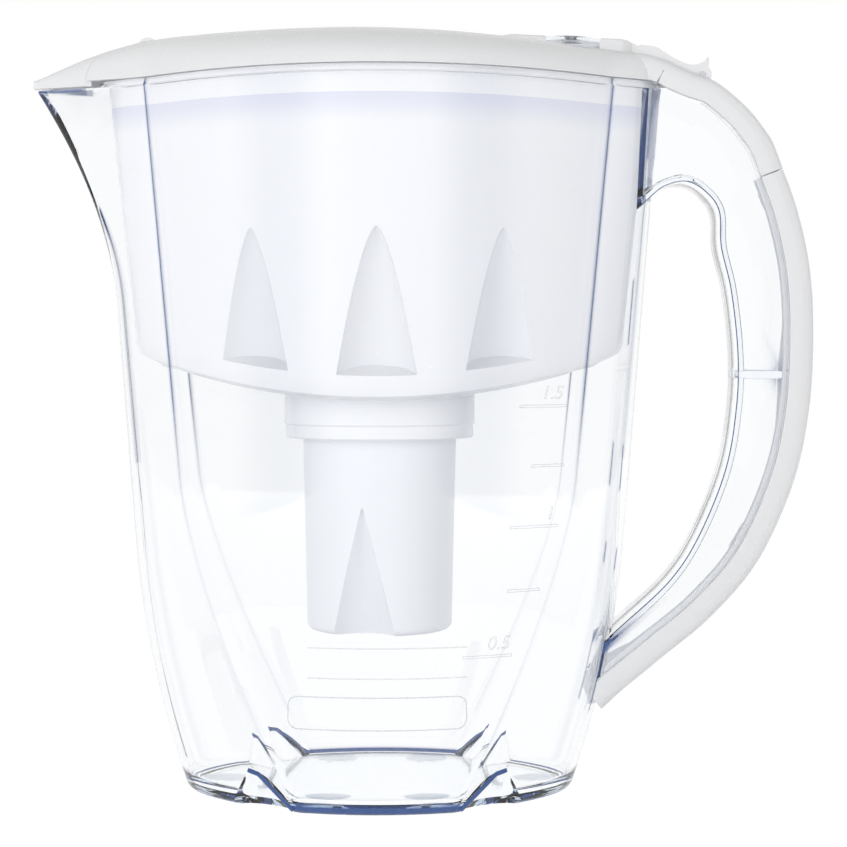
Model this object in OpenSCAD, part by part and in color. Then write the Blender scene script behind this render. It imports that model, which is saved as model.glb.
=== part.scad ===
// Water filter pitcher with a flip lid: a clear jug with a hopper and a filter cartridge
// hanging in it, closed by a lid with a fill flap and a spout flap.
// The origin is on the table under the middle of the jug. +X points to the handle,
// -Y to the side with the level marks and +Z up.

/* [Jug] */
// Height of the jug's rim above the table
rim_z = 238; // [230:1:246]
// Half length of the jug at its rim, without spout and handle
rim_half_l = 96; // [93:0.5:100]
// Half width of the jug at its rim
rim_half_w = 56; // [54:0.5:59]
// Loss of half length for each millimetre down the wall
end_taper = 0.0815; // [0.07:0.0005:0.09]
// Loss of half width for each millimetre down the wall
side_taper = 0.012; // [0.008:0.001:0.02]
// Height over which the foot tucks in
tuck_z = 85; // [70:1:100]
// Loss of half length in that tuck
end_tuck = 11.4; // [9:0.1:13]
// Loss of half width in that tuck
side_tuck = 3.5; // [2:0.1:5]
// Thickness of the jug's wall
jug_wall = 2.5; // [2:0.1:3]
// Thickness of the jug's floor
jug_floor = 3; // [2.5:0.1:4]
// Height at which the wall creases start to converge
crease_z = 107; // [95:1:120]
// Distance of the creases from the rim's end, at that height
crease_in = 31; // [28:0.5:36]
// Half distance between the creases at the table
crease_foot_x = 25; // [20:0.5:30]
// Gain of that half distance for each millimetre above
crease_slope = 0.1; // [0.08:0.005:0.11]

/* [Spout and foot] */
// Reach of the spout's tip beyond the wall
spout_reach = 21.6; // [16:0.2:26]
// Half width of the spout where it leaves the wall
spout_half_w = 14; // [12:0.5:15]
// Height at which the spout leaves the wall
spout_foot_z = 166; // [150:1:185]
// Distance of a foot notch from the foot's end, along the jug
notch_in = 22.7; // [20:0.1:25]
// How far a foot notch's apex stands outside the wall
notch_out = 1; // [0.5:0.1:2]
// How far a foot notch reaches in from its apex, at the ground
notch_r = 12.3; // [11:0.1:13]
// Height of a foot notch
notch_h = 16.5; // [14:0.5:18]
// Diameter of a foot pad
pad_d = 14.6; // [12:0.2:16]
// Thickness of a foot pad
pad_t = 1.6; // [1.4:0.1:2]

/* [Handle] */
// Width of the handle
handle_w = 24; // [22:0.5:26]
// Wall of the clear handle channel
channel_wall = 2.2; // [1.8:0.1:2.6]
// Depth of the white grip cover on the handle's back
cover_depth = 9; // [8:0.2:10]
// Skin of the grip cover
cover_skin = 2.4; // [2:0.1:3]
// Thickness of the cross rib in the channel
rib_t = 2.6; // [2:0.1:3]
// Distance of the cross rib below the rim
rib_drop = 98.5; // [90:0.5:106]

/* [Hopper] */
// Gap between the hopper and the jug's wall at the rim
hopper_gap = 1.3; // [0.8:0.1:1.8]
// Extra gap at the hopper's lower end
hopper_draft = 2.4; // [1:0.1:3]
// Wall of the hopper
hopper_wall = 2; // [1.6:0.1:2.4]
// Thickness of the flange that hangs on the jug's rim
flange_t = 2.3; // [1.8:0.1:3]
// How far the flange reaches beyond the jug's wall
flange_out = 0.8; // [0.5:0.1:1]
// Lowest height of the hopper's floor
hopper_low = 132.5; // [128:0.5:136]
// Rise of the hopper's floor from the middle to the ends
hopper_bow = 18; // [14:0.5:20]
// Height of the flutes' pointed tops
flute_top = 189; // [180:1:195]
// Radius of a flute at the hopper's floor
flute_r = 14.6; // [13:0.2:16]
// Distance between the flutes
flute_pitch = 40.7; // [38:0.2:42]
// Outer radius of the cartridge socket
socket_r = 32.4; // [32:0.1:34]
// Lower end of the cartridge socket
socket_z = 119.5; // [116:0.5:122]
// Wall of the cartridge socket
socket_wall = 2.4; // [2:0.1:2.8]
// Thickness of the lip that carries the cartridge
lip_t = 2.4; // [2:0.1:3]

/* [Cartridge] */
// Height of the cartridge's lower end
barrel_z = 54; // [50:1:60]
// Radius of the barrel at its lower end
barrel_low_r = 24.6; // [23.5:0.1:25.2]
// Radius of the barrel under its head
barrel_top_r = 26.1; // [25.6:0.1:26.6]
// Wall of the barrel
barrel_wall = 1.6; // [1.3:0.1:2]
// Radius of the flutes at the barrel's lower end
barrel_flute_r = 11; // [9:0.5:12]
// Height of the barrel's flutes
barrel_flute_h = 44.4; // [38:0.2:48]
// Turn of the barrel's flutes from the jug's front
barrel_turn = -12; // [-20:1:20]
// Thickness of the head flange that sits on the socket's lip
head_t = 4; // [3:0.1:5]
// Thickness of the sealing ring
seal_t = 2.8; // [2.4:0.1:3.2]
// Height of the cap above its own rim
cap_h = 12; // [10:0.5:14]
// Height of the cap's grip
grip_h = 11; // [8:0.5:12]
// Thickness of the filter pads
pad_felt = 2; // [1.5:0.1:3]

/* [Lid] */
// Overhang of the lid beyond the jug's rim
lid_over = 1.6; // [1.2:0.1:2.2]
// Skin of the lid
lid_skin = 2.6; // [2.4:0.1:3]
// Depth of the rib that reaches into the hopper
lid_rib_h = 8; // [5:0.5:9]
// Gap between that rib and the hopper's wall, at the hopper's top
lid_rib_gap = 1.6; // [1.4:0.1:2]
// Thickness of that rib
lid_rib_t = 1.6; // [1.4:0.1:2]
// Thickness of the fill flap
flap_t = 2.2; // [2:0.1:2.3]
// Distance of the fill flap's ends from the rim's ends, on average
flap_in = 19; // [18:0.5:22]
// Half width of the fill flap
flap_half_w = 27; // [24:0.5:29]
// Place of the flap's middle along the lid
flap_mid_x = 11; // [9:0.5:12]
// Running gap round the flaps
flap_gap = 0.5; // [0.4:0.05:0.7]
// Width of the ledge under the fill flap
ledge_w = 3; // [2.5:0.1:4]
// Thickness of that ledge
ledge_t = 1.8; // [1.5:0.1:2.2]
// Width of the thumb lever
lever_w = 13; // [12:0.2:14]
// Place of the thumb hinge beyond the jug's wall
hinge_reach = 13.8; // [13.4:0.1:14.2]
// Height of the thumb hinge above the jug's rim
hinge_rise = 4.8; // [4.5:0.1:5.1]
// Diameter of the hinge pins
pin_d = 2.5; // [2:0.1:2.8]
// Running clearance of the pins in their bores
pin_fit = 0.05; // [0.03:0.01:0.08]

/* [Dial] */
// Distance of the dial from the jug's rim at the handle
dial_in = 30.5; // [29:0.5:33]
// Radius of the dial's clear cover
dial_r = 13; // [12:0.2:13.6]
// Thickness of the dial's clear cover
dial_t = 3; // [2.6:0.1:3.4]
// Forward lean of the dial
dial_lean = 2.8; // [2:0.1:4]
// Height of the dial's seat above the hopper flange
dial_rise = 11.4; // [11.2:0.1:12]

/* [Hidden] */

// Colours
clear_blue = [0.86, 0.93, 0.98, 0.45];
milky = [0.94, 0.96, 0.98, 0.8];
gloss_white = [0.96, 0.96, 0.96];
soft_grey = [0.55, 0.57, 0.6];
carbon = [0.15, 0.15, 0.16];

// Fit values
cut = 1;              // how far a cutting solid runs past what it cuts
fine = 96;            // facets of large turned surfaces
small = 32;           // facets of pins and small holes
rest_gap = 0.3;       // gap between curved faces of different bodies

// ---------------------------------------------------------------- outline of the jug

crease_mid_x = rim_half_l - crease_in;
flap_half_l = rim_half_l - flap_in;
dial_x = rim_half_l - dial_in;
function half_l(z) = rim_half_l - end_taper * (rim_z - z)
    - end_tuck * pow(max(0, 1 - z / tuck_z), 2);
function half_w(z) = rim_half_w - side_taper * (rim_z - z)
    - side_tuck * pow(max(0, 1 - z / tuck_z), 2);
function crease_x(z) = z > crease_z
    ? crease_mid_x + crease_slope * (z - crease_z)
    : crease_mid_x - (crease_mid_x - crease_foot_x) * pow(1 - z / crease_z, 1.35);
// 1 gives an elliptic section, 2 a leaf-shaped one
function leafness(z) = 1 + pow(z / rim_z, 0.8);
function crease_y(z) = half_w(z) * pow(1 - pow(crease_x(z) / half_l(z), 2), leafness(z) / 2);
function spout_out(z) = spout_reach
    * pow(max(0, (z - spout_foot_z) / (rim_z - spout_foot_z)), 1.85);

function end_x(y, z) = crease_x(z)
    + (half_l(z) - crease_x(z)) * (1 - pow(y / crease_y(z), 2));
function side_y(x, z) = crease_y(z)
    + (half_w(z) - crease_y(z)) * (1 - pow(x / crease_x(z), 2));
beak_r = 2;           // rounding of the beak's ridge
function beak_share(y) = max(0, 1 - (sqrt(y * y + beak_r * beak_r) - beak_r)
    / (sqrt(spout_half_w * spout_half_w + beak_r * beak_r) - beak_r));
function beak_x(y, z) = end_x(y, z) + spout_out(z) * pow(beak_share(y), 1.2);

end_steps = 8;        // facets round an end
side_steps = 10;      // facets along a side
beak_steps = 4;       // facets along one side of the spout

// Heights of points across the spout end, from the +Y crease to the -Y crease
function beak_ys(z) = let (c = crease_y(z), s = spout_half_w) concat(
    [for (i = [0:2]) c + (s - c) * i / 3],
    [for (i = [0:2 * beak_steps]) s * (1 - i / beak_steps)],
    [for (i = [1:3]) -s + (s - c) * i / 3]);

// One horizontal section of the jug, counter-clockwise from above
function section(z, spout = 1) = concat(
    [for (i = [0:end_steps]) let (y = crease_y(z) * (2 * i / end_steps - 1)) [end_x(y, z), y]],
    [for (i = [1:side_steps - 1]) let (x = crease_x(z) * (1 - 2 * i / side_steps))
        [x, side_y(x, z)]],
    [for (y = beak_ys(z)) [-(spout * beak_x(y, z) + (1 - spout) * end_x(y, z)), y]],
    [for (i = [1:side_steps - 1]) let (x = crease_x(z) * (2 * i / side_steps - 1))
        [x, -side_y(x, z)]]);

notch_x = half_l(0) - notch_in;
notch_y = side_y(notch_x, notch_h) + notch_out;

// ---------------------------------------------------------------- shaping helpers

function unit(v) = v / norm(v);

// Moves each point of a closed counter-clockwise outline inwards by d
function inset(outline, d) = let (n = len(outline)) [for (i = [0:n - 1])
    let (here = outline[i],
        before = unit(here - outline[(i + n - 1) % n]),
        after = unit(outline[(i + 1) % n] - here),
        inward = unit([-before[1] - after[1], before[0] + after[0]]),
        mitre = sqrt(max(0.3, (1 + before * after) / 2)))
    here + inward * d / mitre];

// Moves an open curve to its left by d
function shifted(curve, d) = let (n = len(curve)) [for (i = [0:n - 1])
    let (along = unit(curve[min(i + 1, n - 1)] - curve[max(i - 1, 0)]))
    curve[i] + d * [-along[1], along[0]]];

// Smooth curve through points, with n steps between neighbours
function smooth_at(a, b, c, d, t) = 0.5 * (2 * b + (c - a) * t
    + (2 * a - 5 * b + 4 * c - d) * t * t + (3 * b - 3 * c + d - a) * t * t * t);
function smooth(points, n) = let (last = len(points) - 1) concat(
    [for (i = [0:last - 1], k = [0:n - 1]) smooth_at(points[max(i - 1, 0)], points[i],
        points[i + 1], points[min(i + 2, last)], k / n)],
    [points[last]]);

function reversed(list) = [for (i = [len(list) - 1:-1:0]) list[i]];
function at_height(outline, z) = [for (p = outline) [p[0], p[1], z]];

// Solid through a stack of rings with equal numbers of points, lowest ring first
module loft(rings) {
    n = len(rings[0]);
    top = (len(rings) - 1) * n;
    polyhedron(points = [for (r = rings) each r], faces = concat(
        [[for (i = [0:n - 1]) i]],
        [[for (i = [n - 1:-1:0]) top + i]],
        [for (k = [0:len(rings) - 2], i = [0:n - 1])
            let (a = k * n + i, b = k * n + (i + 1) % n)
            each [[a, a + n, b + n], [a, b + n, b]]]));
}

// A plate that stands in the XZ plane, centred on Y
module upright(width) {
    rotate([90, 0, 0])
        linear_extrude(width, center = true)
            children();
}

// A rod along Y through a point of the XZ plane
module cross_rod(point, r, length) {
    translate([point[0], 0, point[1]])
        rotate([90, 0, 0])
            cylinder(r = r, h = length, center = true, $fn = small);
}

// ---------------------------------------------------------------- jug

jug_levels = [10, 20, 32, 46, 62, 80, 100, 125, 150, 170, 190, 207, 223, rim_z];
foot_round = 2.5;

module jug_outside() {
    loft(concat(
        [at_height(inset(section(0), foot_round), 0)],
        [at_height(section(foot_round), foot_round)],
        [for (z = jug_levels) at_height(section(z), z)]));
}

module jug_inside() {
    loft(concat(
        [at_height(inset(section(jug_floor), jug_wall + foot_round), jug_floor)],
        [for (z = jug_levels) at_height(inset(section(z), jug_wall), z)],
        [at_height(inset(section(rim_z), jug_wall), rim_z + cut)]));
}

// The four arched notches that lift the foot between its lobes: outline of one at the
// ground from its apex, in shares of its reach, its outer corners well outside the wall
notch_outline = [[-1.5, 0.73], [-1.3, 0.16], [-1.18, -0.22], [-0.96, -0.51], [-0.67, -0.75],
    [-0.33, -0.93], [0, -1], [0.37, -0.92], [0.69, -0.73], [0.93, -0.52], [1.6, 0.5],
    [0.8, 1.8], [-1, 1.8]];

module foot_notches(grow) {
    wide = notch_r + grow;
    high = notch_h + 1.2 * grow;
    for (sx = [-1, 1], sy = [-1, 1])
        mirror([sx < 0 ? 1 : 0, 0, 0])
            mirror([0, sy < 0 ? 1 : 0, 0])
                translate([notch_x, notch_y, 0])
                loft([
                    at_height(wide * (1 + cut / high) * notch_outline, -cut),
                    at_height(0.1 * notch_outline, high)]);
}

// Centres of the six foot pads
pad_in_x = 12;
pad_in_y = 14;
pad_x = 16;
pad_places = concat(
    [for (sx = [-1, 1], sy = [-1, 1]) [sx * pad_x, sy * (half_w(0) - pad_in_y)]],
    [for (sx = [-1, 1]) [sx * (half_l(0) - pad_in_x), 0]]);
pad_fit = 0.1;

module jug_body() {
    color(clear_blue)
        difference() {
            jug_outside();
            foot_notches(0);
            difference() {
                jug_inside();
                foot_notches(jug_wall);
            }
            for (p = pad_places)
                translate([p[0], p[1], -cut])
                    cylinder(d = pad_d, h = pad_t + cut, $fn = small);
        }
}

module foot_pads() {
    color(clear_blue)
        for (p = pad_places)
            translate([p[0], p[1], 0])
                cylinder(d = pad_d - 2 * pad_fit, h = pad_t, $fn = small);
}

// ---------------------------------------------------------------- handle

// Points in the XZ plane, given from the corner of the jug's rim at the handle
function from_rim(points) = [for (p = points) [rim_half_l + p[0], rim_z + p[1]]];

// Back of the handle: the lid's tail, then the grip cover down to its root on the jug
tail_top = smooth(from_rim([[-12, 12.6], [-6, 12.1], [1, 10], [4, 8.5], [11.4, 5.3],
    [17.7, 3.1], [24.2, -1.6], [30.3, -7.4], [34.9, -13.2], [38.3, -18.7], [41.4, -27]]), 3);
cover_curve = smooth(from_rim([[41.5, -27.4], [46.3, -41], [50.3, -59], [51.8, -80],
    [50.5, -108], [45, -134], [33, -160.5], [17, -179.5], [-1, -194.5], [-23, -212.5]]), 5);

// Edge of the finger opening, from the jug's wall over the fingers and back to the wall
opening_curve = smooth(from_rim([[-14, -47], [-4, -37], [1, -33.4], [7.7, -32.1],
    [14, -35.4], [18.6, -42], [19.3, -54], [22.7, -69], [24.9, -90], [24.4, -108],
    [20.8, -129], [12, -151], [2, -166.5], [-14, -181.5], [-26, -192]]), 4);

inside_x = rim_half_l - 45;      // a plane well inside the jug, where outlines close

// The jug's end as a solid, used to trim what is moulded or seated on it
module jug_end(z0, z1) {
    levels = concat([for (z = jug_levels) if (z > z0 && z < z1) z]);
    ring = function(z) concat([[inside_x - 20, -crease_y(z)]],
        [for (i = [0:end_steps]) let (y = crease_y(z) * (2 * i / end_steps - 1)) [end_x(y, z), y]],
        [[inside_x - 20, crease_y(z)]]);
    loft([for (z = concat([z0], levels, [z1])) at_height(ring(z), z)]);
}

// Side outline between the back of the handle, moved in by d, and the jug
module handle_side(d, top_drop) {
    back = shifted(concat(tail_top, cover_curve), -d);
    top = rim_z - top_drop;
    top_x = lookup(top, [for (p = reversed(back)) [p[1], p[0]]]);
    polygon(concat([[inside_x, top], [top_x, top]], [for (p = back) if (p[1] < top) p],
        [[inside_x, back[len(back) - 1][1]]]));
}

// The finger opening, moved out by d towards the handle's back
opening_run = 30;     // how far the opening's outline runs on into the jug
module opening_side(d) {
    edge = shifted(opening_curve, d);
    far_x = inside_x - opening_run;
    polygon(concat([[far_x, edge[0][1]]], edge, [[far_x, edge[len(edge) - 1][1]]]));
}

module jug_handle() {
    color(clear_blue)
        difference() {
            union() {
                difference() {
                    upright(handle_w)
                        difference() {
                            handle_side(cover_depth + rest_gap, rest_gap);
                            opening_side(0);
                        }
                    upright(handle_w - 2 * channel_wall)
                        difference() {
                            handle_side(-cut, -cut);
                            opening_side(channel_wall);
                        }
                }
                // rib across the channel
                upright(handle_w - 2 * channel_wall + 0.2)
                    intersection() {
                        difference() {
                            handle_side(cover_depth + rest_gap + 2, rest_gap);
                            opening_side(channel_wall - 0.1);
                        }
                        translate([inside_x, rim_z - rib_drop])
                            square([200, rib_t]);
                    }
            }
            jug_end(0, rim_z + cut);
        }
}

// Sweeps a cross-section along a curve of the handle's back: each point of the section
// is [y, depth below the back], its depth scaled at station i by share(i, y)
module back_sweep(curve, profile, share = function(i, y) 1) {
    inward = shifted(curve, -1);
    loft([for (i = [0:len(curve) - 1]) [for (j = [len(profile) - 1:-1:0])
        let (y = profile[j][0], t = profile[j][1] * share(i, y),
            p = curve[i] + (inward[i] - curve[i]) * t) [p[0], y, p[1]]]]);
}

// Rounded back of half width w down to a depth, its crown lowered by d
function back_profile(w, d, depth) = [[-w, depth], [-w, d + 4.6], [-w + 1.2, d + 2],
    [-w + 4.2, d + 0.5], [0, d], [w - 4.2, d + 0.5], [w - 1.2, d + 2], [w, d + 4.6], [w, depth]];

cover_lip_fit = 0.15;
cover_lip_reach = 2;
cover_shoulder = 0.15;
cover_root_t = 3;     // depth left in the cover where its lower end meets the jug

// Cross-section of the grip cover: a rounded back with two lips that reach
// between the walls of the channel
function cover_profile() = let (w = handle_w / 2, lip = w - channel_wall - cover_lip_fit,
    room = lip - channel_wall, deep = cover_depth + cover_lip_reach) concat(
    back_profile(w, 0, cover_depth),
    [[lip, cover_depth - cover_shoulder], [lip, deep], [room, deep], [room, cover_skin + 2],
     [room - 2.5, cover_skin + 0.5], [0, cover_skin], [2.5 - room, cover_skin + 0.5],
     [-room, cover_skin + 2], [-room, deep], [-lip, deep],
     [-lip, cover_depth - cover_shoulder]]);

// How deep below point p of the back, along the inward direction n, the jug's end lies at y
function jug_depth(p, n, y, low = 0, high = 60, turns = 14) =
    turns == 0 ? low : let (t = (low + high) / 2, q = p + n * t)
    q[0] < end_x(y, q[1]) ? jug_depth(p, n, y, low, t, turns - 1)
        : jug_depth(p, n, y, t, high, turns - 1);

module handle_cover() {
    w = handle_w / 2;
    inward = shifted(cover_curve, -1);
    depths = [for (i = [0:len(cover_curve) - 1])
        let (p = cover_curve[i], n = inward[i] - p)
        p[1] > rim_z / 2 ? [60, 60] : [for (y = [w, w - 2 * channel_wall]) jug_depth(p, n, y) - rest_gap]];
    kept = [for (i = [0:len(cover_curve) - 1]) if (depths[i][1] > cover_root_t) cover_curve[i]];
    color(gloss_white)
        back_sweep(kept, cover_profile(), function(i, y) abs(y) > w - channel_wall
            ? min(1, depths[i][0] / cover_depth)
            : min(1, depths[i][1] / (cover_depth + cover_lip_reach)));
}

// ---------------------------------------------------------------- hopper

hopper_top = rim_z + flange_t;
hopper_end = half_l(rim_z) - jug_wall - hopper_gap;
function floor_z(x) = hopper_low + hopper_bow * pow(x / hopper_end, 2);
function hopper_gap_at(v) = jug_wall + hopper_gap + hopper_draft * (1 - v);

hopper_section_z = hopper_low + hopper_bow;
// Outline of the hopper at a share v of the way up, moved in by d
function hopper_ring(v, d) = inset(
    section(hopper_section_z + v * (rim_z - hopper_section_z), 0), hopper_gap_at(v) + d);
hopper_edge = 4;      // rounding between the hopper's floor and wall

function hopper_rings(d, lift, top, walls = 1) = let (foot = hopper_ring(0, d)) concat(
    [for (k = [0.3]) [for (p = foot) [p[0] * k, p[1] * k, hopper_low + lift]]],
    [for (k = [0.5, 0.72, 0.9, 0.965]) [for (p = foot)
        [p[0] * k, p[1] * k, floor_z(p[0] * k) + lift + hopper_edge * pow(k, 12) * 0.5]]],
    [[for (p = foot) [p[0], p[1], floor_z(p[0]) + lift + hopper_edge]]],
    walls == 0 ? [] : [for (v = [0.12, 0.3, 0.5, 0.7, 0.85]) [for (p = hopper_ring(v, d))
        [p[0], p[1], (1 - v) * (floor_z(p[0]) + lift + hopper_edge) + v * rim_z]]],
    walls == 0 ? [] : [at_height(hopper_ring(1, d), top)]);

flute_places = [-flute_pitch, 0, flute_pitch];
flute_low = hopper_low - 10;
// Radius of a flute a distance h below its top
function flute_at(h) = flute_r * pow(h / (flute_top - hopper_low), 0.65);

module hopper_flutes(grow) {
    drops = [0, 1, 4, 9, 16, 26, 40, flute_top - flute_low];
    for (x = flute_places, s = [-1, 1])
        translate([x, s * (side_y(x, flute_top) - hopper_gap_at(0.4)), 0])
            rotate_extrude($fn = 36)
                polygon(concat([[0, flute_low], [0, flute_top + grow]],
                    [for (h = drops) [flute_at(h) + grow, flute_top - h]]));
}

// Plain band round the hopper's lower edge, below the flutes
chin_h = 4.5;
module hopper_chin() {
    share = chin_h / (rim_z - hopper_low);
    loft(concat(hopper_rings(0, 0, rim_z, 0),
        [[for (p = hopper_ring(share, 0))
            [p[0], p[1], (1 - share) * (floor_z(p[0]) + hopper_edge) + share * rim_z]]]));
}

module hopper() {
    rest_low = hopper_low + 6;
    color(milky)
        difference() {
            union() {
                difference() {
                    union() {
                        difference() {
                            loft(hopper_rings(0, 0, rim_z + 0.01));
                            hopper_flutes(0);
                        }
                        hopper_chin();
                    }
                    difference() {
                        loft(hopper_rings(hopper_wall, hopper_wall, rim_z + cut));
                        hopper_flutes(hopper_wall);
                    }
                }
                // flange that hangs on the jug's rim
                difference() {
                    loft([for (z = [rim_z, hopper_top])
                        at_height(inset(section(rim_z, 0), -flange_out), z)]);
                    loft([for (z = [rim_z - cut, hopper_top + cut])
                        at_height(hopper_ring(1, hopper_wall), z)]);
                }
                translate([0, 0, socket_z])
                    cylinder(r = socket_r, h = rest_low - socket_z, $fn = fine);
            }
            translate([0, 0, socket_z + lip_t])
                cylinder(r = socket_r - socket_wall, h = 40, $fn = fine);
            translate([0, 0, socket_z - cut])
                cylinder(r = barrel_top_r + rest_gap + 0.1, h = 40, $fn = fine);
        }
}

// ---------------------------------------------------------------- cartridge

seat_z = socket_z + lip_t;                 // where the cartridge's head sits
head_r = socket_r - socket_wall - 0.6;
neck_r = barrel_top_r - 0.8;
neck_top = seat_z + head_t + seal_t + 0.4;
cap_top = neck_top + cap_h;
felt_low = barrel_z + barrel_wall;

module barrel_flutes(grow) {
    for (turn = [0, 180])
        rotate([0, 0, barrel_turn + turn])
            translate([0, -barrel_low_r - 0.5, barrel_z - cut])
                cylinder(r1 = (barrel_flute_r + grow) * (1 + cut / barrel_flute_h),
                    r2 = grow * 0.5, h = barrel_flute_h + cut + grow * 0.5, $fn = 40);
}

// The inside of the barrel, moved in by d
module barrel_room(d, z0, z1) {
    slope = (barrel_top_r - barrel_low_r) / (seat_z - barrel_z);
    difference() {
        translate([0, 0, z0])
            cylinder(r1 = barrel_low_r + slope * (z0 - barrel_z) - d,
                r2 = barrel_low_r + slope * (z1 - barrel_z) - d, h = z1 - z0, $fn = fine);
        barrel_flutes(d);
    }
}

outlet_r = 1.6;
module cartridge_barrel() {
    color(gloss_white)
        difference() {
            union() {
                rotate_extrude($fn = fine)
                    polygon([[0, barrel_z], [barrel_low_r - 1.5, barrel_z],
                        [barrel_low_r - 0.4, barrel_z + 0.5], [barrel_low_r, barrel_z + 1.6],
                        [barrel_top_r, seat_z], [head_r, seat_z], [head_r, seat_z + head_t],
                        [neck_r, seat_z + head_t], [neck_r, neck_top], [0, neck_top]]);
            }
            barrel_flutes(0);
            barrel_room(barrel_wall, felt_low, seat_z);
            translate([0, 0, seat_z - 0.01])
                cylinder(r = neck_r - barrel_wall, h = 40, $fn = fine);
            for (turn = [0:45:315])
                rotate([0, 0, turn])
                    translate([9, 0, barrel_z - cut])
                        cylinder(r = outlet_r, h = 10, $fn = small);
        }
}

module outlet_felt() {
    color(gloss_white)
        barrel_room(barrel_wall + 0.2, felt_low, felt_low + pad_felt);
}

mesh_low = neck_top - pad_felt;
module carbon_media() {
    color(carbon)
        union() {
            barrel_room(barrel_wall + 0.2, felt_low + pad_felt, seat_z - 2);
            translate([0, 0, seat_z - 2.5])
                cylinder(r = neck_r - barrel_wall - 0.3, h = mesh_low - seat_z + 2.5, $fn = fine);
        }
}

module inlet_mesh() {
    color(soft_grey)
        translate([0, 0, mesh_low])
            cylinder(r = neck_r - barrel_wall - 0.2, h = pad_felt, $fn = fine);
}

module cartridge_seal() {
    color(soft_grey)
        translate([0, 0, neck_top - 0.2 - seal_t / 2])
            rotate_extrude($fn = fine)
                translate([neck_r + seal_t / 2, 0])
                    circle(d = seal_t, $fn = small);
}

grip_w = 30;
grip_t = 4;
slot_w = 2;
module cartridge_cap() {
    cap_r = head_r - 2.2;
    color(gloss_white)
        difference() {
            union() {
                translate([0, 0, neck_top])
                    cylinder(r = head_r, h = 2.4, $fn = fine);
                translate([0, 0, neck_top + 2])
                    cylinder(r1 = cap_r, r2 = cap_r - 3, h = cap_h - 2, $fn = fine);
                translate([-grip_w / 2, -grip_t / 2, cap_top - 1])
                    cube([grip_w, grip_t, grip_h - grip_t + 1]);
                hull()
                    for (s = [-1, 1])
                        translate([s * (grip_w / 2 - grip_t / 2), 0, cap_top + grip_h - grip_t])
                            sphere(d = grip_t, $fn = 24);
            }
            translate([0, 0, neck_top - cut])
                cylinder(r1 = cap_r - 1.6, r2 = cap_r - 4.6, h = cap_h - 1 + cut - 0.6, $fn = fine);
            for (turn = [15:30:345])
                rotate([0, 0, turn])
                    translate([cap_r - 6, -slot_w / 2, neck_top + 4])
                        cube([10, slot_w, cap_h - 7]);
        }
}

// ---------------------------------------------------------------- lid surface

lid_tip = rim_half_l + spout_reach + 0.8;
lid_end = rim_half_l + lid_over / 2;
beak_root = end_x(spout_half_w, rim_z);

function end_width(x) = let (c = crease_x(rim_z))
    (crease_y(rim_z) + lid_over) * sqrt(max(0.01, 1 - (x - c) / (lid_end + 0.6 - c)));
function beak_width(x) = spout_half_w * (1 - (x - beak_root) / (lid_tip - 0.8 - beak_root))
    + lid_over;
// Half width of the lid at a place along it
function lid_w(x) = abs(x) < crease_x(rim_z) ? side_y(x, rim_z) + lid_over
    : x > 0 ? end_width(x) : max(end_width(-x), beak_width(-x));

// Height of the lid's spine above the hopper's flange
spine_points = smooth([[-lid_tip, 0.9], [-lid_tip + 3.4, 2.2], [-lid_tip + 18, 8.2],
    [-lid_tip + 32, 12.4], [-0.79 * rim_half_l, 14.2], [-0.6 * rim_half_l, 15.1],
    [-0.31 * rim_half_l, 15.7], [-0.05 * rim_half_l, 15.8], [0.21 * rim_half_l, 15],
    [0.47 * rim_half_l, 13.4], [rim_half_l - 31, 11.8], [rim_half_l - 16, 10.7], [rim_half_l - 6, 9.8],
    [rim_half_l + 1, 7.7]], 3);
function spine_z(x) = hopper_top + lookup(x, spine_points);

stations = concat(
    [for (k = [0:0.2:1]) -lid_tip + (lid_tip - beak_root) * pow(k, 1.3)],
    [for (t = [-75:15:75]) beak_root * sin(t * 0.8) / sin(72)],
    [for (k = [0:0.25:1]) beak_root + (lid_end - beak_root) * sqrt(k)]);
across = [1, 0.992, 0.96, 0.88, 0.75, 0.55, 0.3, 0, -0.3, -0.55, -0.75, -0.88, -0.96, -0.992, -1];
function crown(u) = sqrt(1 - pow(abs(u), 3.5));

// Solid under the lid's surface, moved in by d, with its edge lowered by skirt
module dome(d, skirt) {
    loft([for (x = stations) let (w = lid_w(x) - d, base = hopper_top, rise = spine_z(x) - d - base)
        if (w > 0.7 && rise > 0.4) concat(
            skirt > 0 ? [[x, w, base - skirt]] : [],
            [for (u = across) [x, w * u, base + rise * crown(u)]],
            skirt > 0 ? [[x, -w, base - skirt]] : [])]);
}

// The layer of the lid between two depths
module layer(d0, d1) {
    difference() {
        translate([0, 0, -d0])
            dome(0, 0);
        translate([0, 0, -d1])
            dome(0, 0);
    }
}

tall = 60;
off_station = 0.15;      // keeps the end of a cut or a block off the stations of a sweep
module prism_of(outline) {
    translate([0, 0, hopper_top - tall / 2])
        linear_extrude(tall)
            polygon(outline);
}

// Leaf outline of the fill flap, grown by g and stretched towards the hinge by h
function leaf(g, h) = [for (t = [0:9:351])
    [flap_mid_x + h / 2 + (flap_half_l + g + h / 2) * cos(t), (flap_half_w + g) * sin(t)]];

// Rear edge of the spout flap, moved back by g
function seam_x(y) = -lid_tip + 34.4 - 16 * pow(y / 10, 2);
function spout_plan(g) = concat([[-lid_tip - 5, 30]],
    [[-lid_tip - 4, -30]],
    [for (y = [-14:2:14]) [seam_x(y) + g, y]]);

// ---------------------------------------------------------------- lid frame

hinge = [rim_half_l + hinge_reach, rim_z + hinge_rise];
spout_hinge = [-lid_tip + 39.9, hopper_top + 11.3];
pin_r = pin_d / 2;
knuckle_r = 3.2;
post_r = 2.4;
post_w = 9;
post_gap = 0.4;
post_room = post_r + post_gap;
ear_r = 3.6;
spout_knuckle_r = 2.8;
spout_knuckle_w = 8;
ear_span = 16;
groove = 1.8;
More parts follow.
